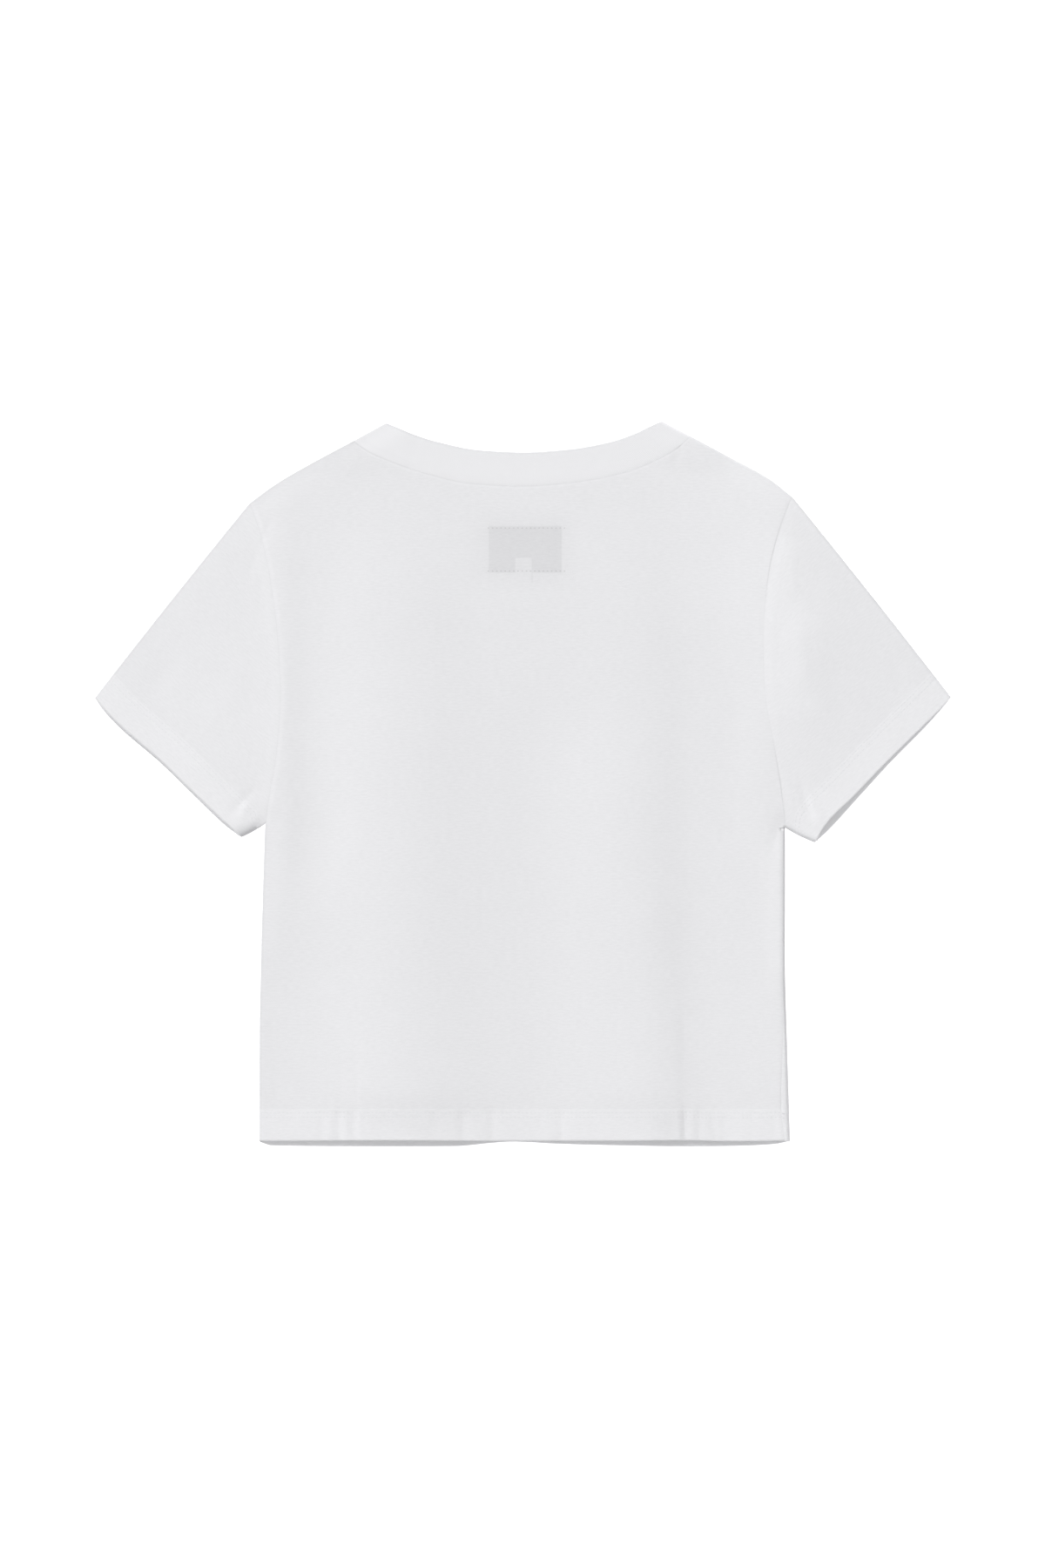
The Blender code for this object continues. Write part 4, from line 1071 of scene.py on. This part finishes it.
def neck_band(material):
    """Rib band, folded double: outer side, round free edge, inner side, joined at the seam."""
    across = neck_shares()
    layers = []
    for layer in ("back", "front"):
        seam = neck_point(across, layer, "seam")
        edge = neck_point(across, layer, "edge")
        height = np.linalg.norm(edge - seam, axis=1)
        start = HALF_SEAM / height
        shares = np.array([lerp(start, 1.0 - TURN_RADIUS / height, s) for s in BAND_SHARES])
        layers.append(lerp(seam, edge, shares[..., None])[::-1])
    at_ends = (np.arange(len(across)) % (len(across) - 1)) == 0
    points, distance = tube_skin(*layers, at_ends)
    is_upper = np.arange(points.shape[1]) < len(across)
    normals = grid_normals(points, True, True)
    from_free_edge, from_seam = column_lengths(points)
    relief = seam_height_at(from_seam, "neck_band")
    relief = np.where(is_upper, relief, np.minimum(relief, 0.0))
    relief += band_join(points, distance) * is_upper
    points = points + normals * relief[..., None]
    normals = grid_normals(points, True, True)
    around = np.repeat(row_lengths(points[-1:]), len(points), axis=0)
    # Painted shade along the band's free edge, its seam and where the allowance ends.
    shade_paint = BAND_EDGE_SHADE * bump_shape(from_free_edge / BAND_EDGE_SHADE_REACH)
    shade_paint += NECK_SHADE * bump_shape(from_seam / SHADE_REACH)
    near_ends = ease((np.abs(points[..., 0]) - BAND_ENDS[0]) / BAND_ENDS[1])
    shade_paint += BAND_LINE_SHADE * near_ends * bump_shape((from_seam - BAND_LINE) / SHADE_REACH)
    return turned_shell("neck_band_cloth", points, normals, len(points), True, True,
                        np.stack((around, from_seam), axis=-1),
                        np.stack((np.ones(shade_paint.shape), shade_paint), axis=-1), material, thickness=0.0)


def band_join(points, distance):
    """Groove of the seam that closes the band."""
    (top_x, top_y), (low_x, low_y) = BAND_JOIN
    run_x, run_y = low_x - top_x, low_y - top_y
    off = (points[..., 1] - top_y) * run_x - (points[..., 0] - top_x) * run_y
    off = off / math.hypot(run_x, run_y)
    return -BAND_JOIN_DEPTH * bump_shape(off / BAND_JOIN_REACH) * ease(distance / FOLD_REACH)


# ---- label and size tab ----------------------------------------------------------------
def back_height(x, y):
    """Height of the back's outer skin away from its edges."""
    distance = edge_distance(x, y)
    return crown(x, y, distance) + ease(distance / CREASE_CLEAR) * crease_height(x, y, BACK_CREASES)


def patch(name, left, right, low, top, sink, material):
    """Small woven piece that hangs under the back, a given depth below its outer skin."""
    across = np.linspace(left, right, int((right - left) / PATCH_CELL) + 1)
    up = np.linspace(low, top, int((top - low) / PATCH_CELL) + 1)
    x, y = np.meshgrid(across, up)
    points = np.stack((x, y, back_height(x, y) - sink(x, y)), axis=-1)
    marks = np.zeros((*x.shape, len(MARKS)))
    return shell(name, points, False, False, points[..., :2], marks, material, LABEL_CLOTH)


def label_sink(x, y):
    """The label lies close under the back and eases down over the tab."""
    off_x = np.maximum(np.maximum(TAB_LEFT - x, x - TAB_RIGHT), 0.0)
    off_y = np.maximum(y - TAB_TOP, 0.0)
    over_tab = 1.0 - ease((np.hypot(off_x, off_y) - TAB_CLEAR) / TAB_EASE)
    return CLOTH + LABEL_AIR + over_tab * (LABEL_CLOTH + LABEL_AIR)


def tab_sink(x, y):
    """The tab lies close under the back."""
    return np.full(np.shape(x), CLOTH + LABEL_AIR)


# ---- stitches --------------------------------------------------------------------------
def stitch_rows(name, paths, material, closed=False, share=STITCH_SHARE):
    """Rows of short thread arches along paths on the cloth; up is away from the cloth."""
    vertices = []
    faces = []
    for path, up in paths:
        if closed:
            path = np.concatenate((path, path[:1]))
            up = np.concatenate((up, up[:1]))
        length = row_lengths(path[None])[0]
        count = int(length[-1] / STITCH_PITCH)
        arch = np.linspace(-0.5, 0.5, len(STITCH_ARCH)) * share
        at = (np.arange(count)[:, None] + 0.5 + arch[None, :]) * length[-1] / count
        centre = np.stack([np.interp(at, length, path[:, k]) for k in range(3)], axis=-1)
        normal = unit(np.stack([np.interp(at, length, up[:, k]) for k in range(3)], axis=-1))
        run = unit(np.gradient(centre, axis=1))
        side = unit(np.cross(run, normal))
        centre = centre + normal * np.array(STITCH_ARCH)[None, :, None]
        for one in range(count):
            start = len(vertices)
            for k in range(len(STITCH_ARCH)):
                for corner in range(THREAD_SIDES):
                    angle = 2.0 * math.pi * corner / THREAD_SIDES
                    offset = side[one, k] * math.cos(angle) + normal[one, k] * math.sin(angle)
                    vertices.append(centre[one, k] + offset * THREAD_RADIUS)
            for k in range(len(STITCH_ARCH) - 1):
                for corner in range(THREAD_SIDES):
                    a = start + k * THREAD_SIDES + corner
                    b = start + k * THREAD_SIDES + (corner + 1) % THREAD_SIDES
                    faces.append((a, b, b + THREAD_SIDES, a + THREAD_SIDES))
            last = start + (len(STITCH_ARCH) - 1) * THREAD_SIDES
            faces.append(tuple(start + c for c in reversed(range(THREAD_SIDES))))
            faces.append(tuple(last + c for c in range(THREAD_SIDES)))
    mesh = bpy.data.meshes.new(name)
    mesh.from_pydata([tuple(v) for v in vertices], [], faces)
    mesh.materials.append(material)
    mesh.shade_smooth()
    return add_object(name, mesh)


THREAD_STANDS = THREAD_RADIUS + max(STITCH_ARCH)     # how far a stitch stands out of the cloth


def level_path(points, sign):
    """A needle row on a panel, pressed flush where it rests, with its direction off the cloth."""
    up = np.zeros_like(points)
    up[:, 2] = sign
    if sign < 0.0:
        points = points - THREAD_STANDS * up
    return points, up


def cuff_path(points):
    """A needle row round a cuff: away from the tube's middle height, and flush where it rests."""
    ahead = unit(np.roll(points, -1, axis=0) - np.roll(points, 1, axis=0))
    up = np.zeros_like(points)
    up[:, 2] = np.where(points[:, 2] > 0.5 * FOLD_TOP, 1.0, -1.0)
    up = unit(up - ahead * (up * ahead).sum(axis=1, keepdims=True))
    return points - THREAD_STANDS * up * (up[:, 2:] < 0.0), up


def label_paths():
    """Two straight seams through the back, above and below the label's edges."""
    paths = []
    for needle in LABEL_NEEDLES:
        x = np.linspace(*LABEL_SEAM_ENDS, LABEL_SEAM_POINTS)
        y = np.full(LABEL_SEAM_POINTS, needle)
        paths.append(level_path(np.stack((x, y, back_height(x, y)), axis=-1), 1.0))
    return paths


# ---- shader groups ---------------------------------------------------------------------
def new_group(name, numbers, outputs):
    """Empty shader node group that takes a vector and named numbers."""
    tree = bpy.data.node_groups.new(name, "ShaderNodeTree")
    tree.interface.new_socket("Vector", in_out="INPUT", socket_type="NodeSocketVector")
    for label, value in numbers.items():
        socket = tree.interface.new_socket(label, in_out="INPUT", socket_type="NodeSocketFloat")
        socket.default_value = value
    for label in outputs:
        tree.interface.new_socket(label, in_out="OUTPUT", socket_type="NodeSocketFloat")
    return tree, tree.nodes.new("NodeGroupInput").outputs, tree.nodes.new("NodeGroupOutput").inputs


def math_node(tree, operation, *values):
    """Math node with links or numbers on its inputs; returns its result."""
    node = tree.nodes.new("ShaderNodeMath")
    node.operation = operation
    for socket, value in zip(node.inputs, values):
        if isinstance(value, (int, float)):
            socket.default_value = value
        else:
            tree.links.new(value, socket)
    return node.outputs[0]


def split(tree, vector):
    """X and Y of a vector."""
    node = tree.nodes.new("ShaderNodeSeparateXYZ")
    tree.links.new(vector, node.inputs[0])
    return node.outputs[0], node.outputs[1]


def combine(tree, x, y):
    """Vector in plan from its X and Y."""
    node = tree.nodes.new("ShaderNodeCombineXYZ")
    tree.links.new(x, node.inputs[0])
    tree.links.new(y, node.inputs[1])
    return node.outputs[0]


def noise(tree, vector, scale, detail):
    """Uneven values from 0 to 1 over a vector."""
    node = tree.nodes.new("ShaderNodeTexNoise")
    node.inputs["Scale"].default_value = scale
    node.inputs["Detail"].default_value = detail
    tree.links.new(vector, node.inputs["Vector"])
    return node.outputs["Fac"]


def wave(tree, operation, place, pitch):
    """Sine or cosine that comes back at each pitch."""
    turns = math_node(tree, "DIVIDE", place, pitch)
    return math_node(tree, operation, math_node(tree, "MULTIPLY", turns, 2.0 * math.pi))


def knit_group():
    """Face of single jersey: columns of V-shaped loops."""
    tree, given, result = new_group("jersey_loops", {"Wale": 0.0008, "Course": 0.0006}, ("Height",))
    x, y = split(tree, given["Vector"])
    wale = math_node(tree, "FRACT", math_node(tree, "DIVIDE", x, given["Wale"]))
    course = math_node(tree, "DIVIDE", y, given["Course"])
    slant = math_node(tree, "ABSOLUTE", math_node(tree, "SUBTRACT", wale, 0.5))
    phase = math_node(tree, "MULTIPLY", math_node(tree, "ADD", course, slant), 2.0 * math.pi)
    leg = math_node(tree, "MULTIPLY_ADD", math_node(tree, "COSINE", phase), 0.5, 0.5)
    arch = math_node(tree, "SINE", math_node(tree, "MULTIPLY", slant, 2.0 * math.pi))
    height = math_node(tree, "MULTIPLY_ADD", leg, 0.55, math_node(tree, "MULTIPLY", arch, 0.45))
    tree.links.new(height, result["Height"])
    return tree


def rib_group():
    """Fine rib: round columns with faint rows of loops across them."""
    tree, given, result = new_group("rib_columns", {"Rib": 0.0012, "Course": 0.0006}, ("Height",))
    x, y = split(tree, given["Vector"])
    round_rib, loops = (
        math_node(tree, "MULTIPLY_ADD", wave(tree, "COSINE", place, given[pitch]), 0.5, 0.5)
        for place, pitch in ((x, "Rib"), (y, "Course")))
    height = math_node(tree, "MULTIPLY_ADD", round_rib, 0.7, math_node(tree, "MULTIPLY", loops, 0.3))
    tree.links.new(height, result["Height"])
    return tree


def slub_group():
    """Uneven yarn: short streaks along the courses, and broader cloudy patches."""
    tree, given, result = new_group("slub_streaks", {"Length": 0.006, "Thickness": 0.0011},
                                    ("Streak", "Cloud"))
    x, y = split(tree, given["Vector"])
    long_x = math_node(tree, "DIVIDE", x, given["Length"])
    long_y = math_node(tree, "DIVIDE", y, given["Thickness"])
    wide_x = math_node(tree, "MULTIPLY", long_x, 0.25)
    wide_y = math_node(tree, "MULTIPLY", long_y, 0.10)
    streak = noise(tree, combine(tree, long_x, long_y), scale=1.0, detail=3.0)
    cloud = noise(tree, combine(tree, wide_x, wide_y), scale=1.0, detail=2.0)
    tree.links.new(streak, result["Streak"])
    tree.links.new(cloud, result["Cloud"])
    return tree


def rectangle_group():
    """Mask of a rectangle in plan with soft edges."""
    numbers = {"Centre X": 0.0, "Centre Y": 0.0, "Half Width": 0.01, "Half Height": 0.01,
               "Softness": 0.001}
    tree, given, result = new_group("soft_rectangle", numbers, ("Mask",))
    x, y = split(tree, given["Vector"])
    masks = []
    for place, centre, half in ((x, "Centre X", "Half Width"), (y, "Centre Y", "Half Height")):
        off = math_node(tree, "ABSOLUTE", math_node(tree, "SUBTRACT", place, given[centre]))
        inside = math_node(tree, "SUBTRACT", given[half], off)
        inside = math_node(tree, "DIVIDE", inside, given["Softness"])
        node = tree.nodes.new("ShaderNodeClamp")
        tree.links.new(math_node(tree, "ADD", inside, 0.5), node.inputs["Value"])
        masks.append(node.outputs[0])
    tree.links.new(math_node(tree, "MULTIPLY", *masks), result["Mask"])
    return tree


def weave_group():
    """Plain weave: threads over and under each other."""
    tree, given, result = new_group("plain_weave", {"Pitch": 0.0004}, ("Height",))
    waves = [wave(tree, "SINE", place, given["Pitch"]) for place in split(tree, given["Vector"])]
    crossing = math_node(tree, "MULTIPLY", *waves)
    tree.links.new(math_node(tree, "MULTIPLY_ADD", crossing, 0.5, 0.5), result["Height"])
    return tree


# ---- materials -------------------------------------------------------------------------
def place_group(tree, group, vector, **values):
    """Instance of a group with its own values; returns its outputs."""
    node = tree.nodes.new("ShaderNodeGroup")
    node.node_tree = group
    tree.links.new(vector, node.inputs["Vector"])
    for name, value in values.items():
        node.inputs[name.replace("_", " ")].default_value = value
    return node.outputs


def cloth_coordinates(tree):
    """The cloth's own directions in metres, and its place on the garment."""
    grain = tree.nodes.new("ShaderNodeUVMap")
    grain.uv_map = "cloth"
    place = tree.nodes.new("ShaderNodeTexCoord")
    return grain.outputs["UV"], place.outputs["Object"]


def mark(tree, name):
    """What a cloth mesh is marked with at each point."""
    node = tree.nodes.new("ShaderNodeAttribute")
    node.attribute_name = name
    return node.outputs["Fac"]


SHEEN_ROUGHNESS = 0.6
CLOTH_SPECULAR = 0.25


def new_material(name, roughness, sheen):
    """Matt cloth with a soft sheen, before its colour and relief."""
    material = bpy.data.materials.new(name)
    material.use_nodes = True
    tree = material.node_tree
    shader = tree.nodes["Principled BSDF"]
    shader.inputs["Roughness"].default_value = roughness
    shader.inputs["Sheen Weight"].default_value = sheen
    shader.inputs["Sheen Roughness"].default_value = SHEEN_ROUGHNESS
    shader.inputs["Specular IOR Level"].default_value = CLOTH_SPECULAR
    return material, tree, shader


def mix_colours(tree, shader, dark, light, share):
    """Base colour between two cloth colours."""
    node = tree.nodes.new("ShaderNodeMix")
    node.data_type = "RGBA"
    node.inputs["A"].default_value = dark
    node.inputs["B"].default_value = light
    tree.links.new(share, node.inputs["Factor"])
    tree.links.new(node.outputs["Result"], shader.inputs["Base Color"])


def add_tones(tree, tone, effects):
    """Tone of the cloth with a share of each effect added."""
    for effect, amount in effects:
        tone = math_node(tree, "MULTIPLY_ADD", effect, amount, tone)
    return tone


def add_bump(tree, shader, height, distance):
    """Fine relief of the cloth's face, up to a distance in metres."""
    node = tree.nodes.new("ShaderNodeBump")
    node.inputs["Distance"].default_value = distance
    node.inputs["Strength"].default_value = 1.0
    tree.links.new(height, node.inputs["Height"])
    tree.links.new(node.outputs["Normal"], shader.inputs["Normal"])


def rectangle_mask(tree, groups, place, softness, left, right, low, top):
    """Mask of the rectangle between four edges."""
    return place_group(tree, groups["rectangle"], place, Softness=softness,
                       Centre_X=0.5 * (left + right), Centre_Y=0.5 * (low + top),
                       Half_Width=0.5 * (right - left), Half_Height=0.5 * (top - low))["Mask"]


def white_jersey(groups):
    """White single jersey; where a second layer or the label lies below, that shows through."""
    material, tree, shader = new_material("white_jersey", roughness=0.88, sheen=0.10)
    grain, place = cloth_coordinates(tree)
    slub = place_group(tree, groups["slub"], grain, Length=0.0042, Thickness=0.0012)
    loops = place_group(tree, groups["knit"], grain, Wale=0.00080, Course=0.00062)
    label, tab, tab_edge_shadow, label_shade_halo = (
        rectangle_mask(tree, groups, place, *shape)
        for shape in (LABEL_SHOWS, TAB_SHOWS, TAB_EDGE_SHADOW, LABEL_SHADE_HALO))
    label = math_node(tree, "SUBTRACT", label, math_node(tree, "MULTIPLY", tab, TAB_COVERS))
    # The tone takes painted shade and light along edges and seams, a painted shadow of the tab's edge and
    # painted shade round the label.
    tone = add_tones(tree, JERSEY_TONE, (
        (slub["Streak"], STREAK_TONE), (slub["Cloud"], CLOUD_TONE),
        (mark(tree, "doubled"), DOUBLED_TONE), (mark(tree, "painted_shading"), -PAINTED_SHADE_TONE),
        (tab_edge_shadow, TAB_EDGE_SHADOW_TONE), (label_shade_halo, LABEL_SHADE_HALO_TONE), (label, LABEL_TONE)))
    mix_colours(tree, shader, JERSEY_DARK, JERSEY_LIGHT, tone)
    height = math_node(tree, "MULTIPLY_ADD", slub["Streak"], 0.5, loops["Height"])
    add_bump(tree, shader, height, distance=0.00007)
    return material


def white_rib(groups):
    """White fine rib of the neck band."""
    material, tree, shader = new_material("white_rib", roughness=0.86, sheen=0.10)
    grain, _ = cloth_coordinates(tree)
    ribs = place_group(tree, groups["rib"], grain, Rib=0.0011, Course=0.00060)
    slub = place_group(tree, groups["slub"], grain, Length=0.0100, Thickness=0.0020)
    # The tone takes painted shade in the grooves between rib columns and along the band's free edge and
    # seam.
    tone = add_tones(tree, RIB_TONE, (
        (ribs["Height"], RIB_GROOVE_SHADE_TONE), (slub["Streak"], RIB_STREAK_TONE),
        (mark(tree, "painted_shading"), -PAINTED_SHADE_TONE)))
    mix_colours(tree, shader, RIB_DARK, RIB_LIGHT, tone)
    add_bump(tree, shader, ribs["Height"], distance=0.00006)
    return material


def woven(name, groups, dark, light, pitch, roughness):
    """Plain woven tape of the label and of the tab."""
    material, tree, shader = new_material(name, roughness, 0.05)
    grain, _ = cloth_coordinates(tree)
    weave = place_group(tree, groups["weave"], grain, Pitch=pitch)
    slub = place_group(tree, groups["slub"], grain, Length=0.0040, Thickness=0.0006)
    # Painted shade: darker where the threads lie lower in the weave.
    tone = math_node(tree, "MULTIPLY_ADD", slub["Streak"], 0.4, math_node(
        tree, "MULTIPLY", weave["Height"], 0.6))
    mix_colours(tree, shader, dark, light, tone)
    add_bump(tree, shader, weave["Height"], 0.00006)
    return material


def thread(name, colour):
    """Sewing thread with a fine twist."""
    material, tree, shader = new_material(name, roughness=0.70, sheen=0.10)
    _, place = cloth_coordinates(tree)
    twist = noise(tree, place, scale=4000.0, detail=1.0)
    dark = tuple(THREAD_SHADE * part for part in colour[:3]) + (1.0,)
    mix_colours(tree, shader, dark, colour, twist)
    add_bump(tree, shader, twist, distance=0.00003)
    return material


def floor_white():
    """Pale, faintly glowing table top."""
    material = bpy.data.materials.new("pale_table")
    material.use_nodes = True
    shader = material.node_tree.nodes["Principled BSDF"]
    shader.inputs["Base Color"].default_value = FLOOR_WHITE
    shader.inputs["Roughness"].default_value = 0.9
    shader.inputs["Specular IOR Level"].default_value = 0.0
    shader.inputs["Emission Color"].default_value = PURE_WHITE
    shader.inputs["Emission Strength"].default_value = FLOOR_GLOW
    return material


# ---- floor, light and camera -----------------------------------------------------------
def add_floor():
    """Plain table top under the garment."""
    corners = ((-1.0, -1.0), (1.0, -1.0), (1.0, 1.0), (-1.0, 1.0))
    mesh = bpy.data.meshes.new("floor")
    mesh.from_pydata([(FLOOR_HALF * x, FLOOR_HALF * y, -FLOOR_DROP) for x, y in corners], [],
                     [(0, 1, 2, 3)])
    mesh.materials.append(floor_white())
    item = add_object("floor", mesh)


def add_light():
    """Soft main light from the upper left, a weaker one opposite, and an even white fill."""
    for name, azimuth, elevation, strength, width in SUNS:
        azimuth = math.radians(azimuth)
        elevation = math.radians(elevation)
        level = math.cos(elevation)
        towards = Vector((level * math.cos(azimuth), level * math.sin(azimuth), math.sin(elevation)))
        lamp = bpy.data.lights.new(name, "SUN")
        lamp.energy = strength
        lamp.angle = math.radians(width)
        add_object(name, lamp).rotation_euler = towards.to_track_quat("Z", "Y").to_euler()
    world = bpy.data.worlds.new("fill")
    world.use_nodes = True
    world.node_tree.nodes["Background"].inputs["Color"].default_value = PURE_WHITE
    world.node_tree.nodes["Background"].inputs["Strength"].default_value = FILL_STRENGTH
    bpy.context.scene.world = world
    bpy.context.scene.view_settings.view_transform = "Standard"


def add_camera():
    """Straight above, with the garment's neck towards the top of the frame."""
    lens = bpy.data.cameras.new("camera")
    lens.sensor_fit = "VERTICAL"
    lens.sensor_height = SENSOR
    lens.lens = SENSOR * VIEW_DISTANCE / VIEW_HEIGHT
    item = add_object("camera", lens)
    item.location = Vector(VIEW_CENTRE) + Vector((0.0, 0.0, VIEW_DISTANCE))
    bpy.context.scene.camera = item


# ---- whole garment ---------------------------------------------------------------------
def dress(item, slot, *nodes):
    """A shell rides on the garment's body and stands for its node."""
    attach(item, "root")
    if nodes:
        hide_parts(*nodes)


def build():
    """The whole garment with its thread, on a table top under studio light."""
    add_camera()
    add_light()
    add_floor()
    groups = {"knit": knit_group(), "rib": rib_group(), "slub": slub_group(),
              "rectangle": rectangle_group(), "weave": weave_group()}
    jersey = white_jersey(groups)
    rib = white_rib(groups)
    label_cloth = woven("grey_label", groups, LABEL_DARK, LABEL_LIGHT, 0.0005, 0.75)
    tab_cloth = woven("white_tab", groups, TAB_DARK, TAB_LIGHT, 0.0004, 0.75)
    white_thread = thread("white_thread", THREAD_WHITE)
    grey_thread = thread("grey_thread", THREAD_GREY)

    front, front_needles = front_panel(jersey)
    back, back_needles = back_panel(jersey)
    left, left_needles = sleeve("left", jersey)
    right, right_needles = sleeve("right", jersey)
    band = neck_band(rib)
    label = patch("neck_label_cloth", LABEL_LEFT, LABEL_RIGHT, LABEL_LOW, LABEL_TOP, label_sink,
                  label_cloth)
    tab = patch("size_tag_cloth", TAB_LEFT, TAB_RIGHT, TAB_LOW, TAB_TOP, tab_sink, tab_cloth)
    for item, slot, node in ((front, "jersey", "front"), (back, "jersey", "back"),
                             (left, "jersey", "sleeve_left"), (right, "jersey", "sleeve_right"),
                             (band, "rib", "neck_band"), (label, "label", "neck_label"),
                             (tab, "tab", "size_tag")):
        dress(item, slot, node)

    threads = (
        stitch_rows("hem_stitches_back", [level_path(p, 1.0) for p in back_needles], white_thread),
        stitch_rows("hem_stitches_front", [level_path(p, -1.0) for p in front_needles], white_thread),
        stitch_rows("cuff_stitches_left", [cuff_path(p) for p in left_needles], white_thread, True),
        stitch_rows("cuff_stitches_right", [cuff_path(p) for p in right_needles], white_thread, True),
        stitch_rows("label_stitches", label_paths(), grey_thread, share=LABEL_STITCH_SHARE),
    )
    for item in threads:
        dress(item, "jersey")


build()
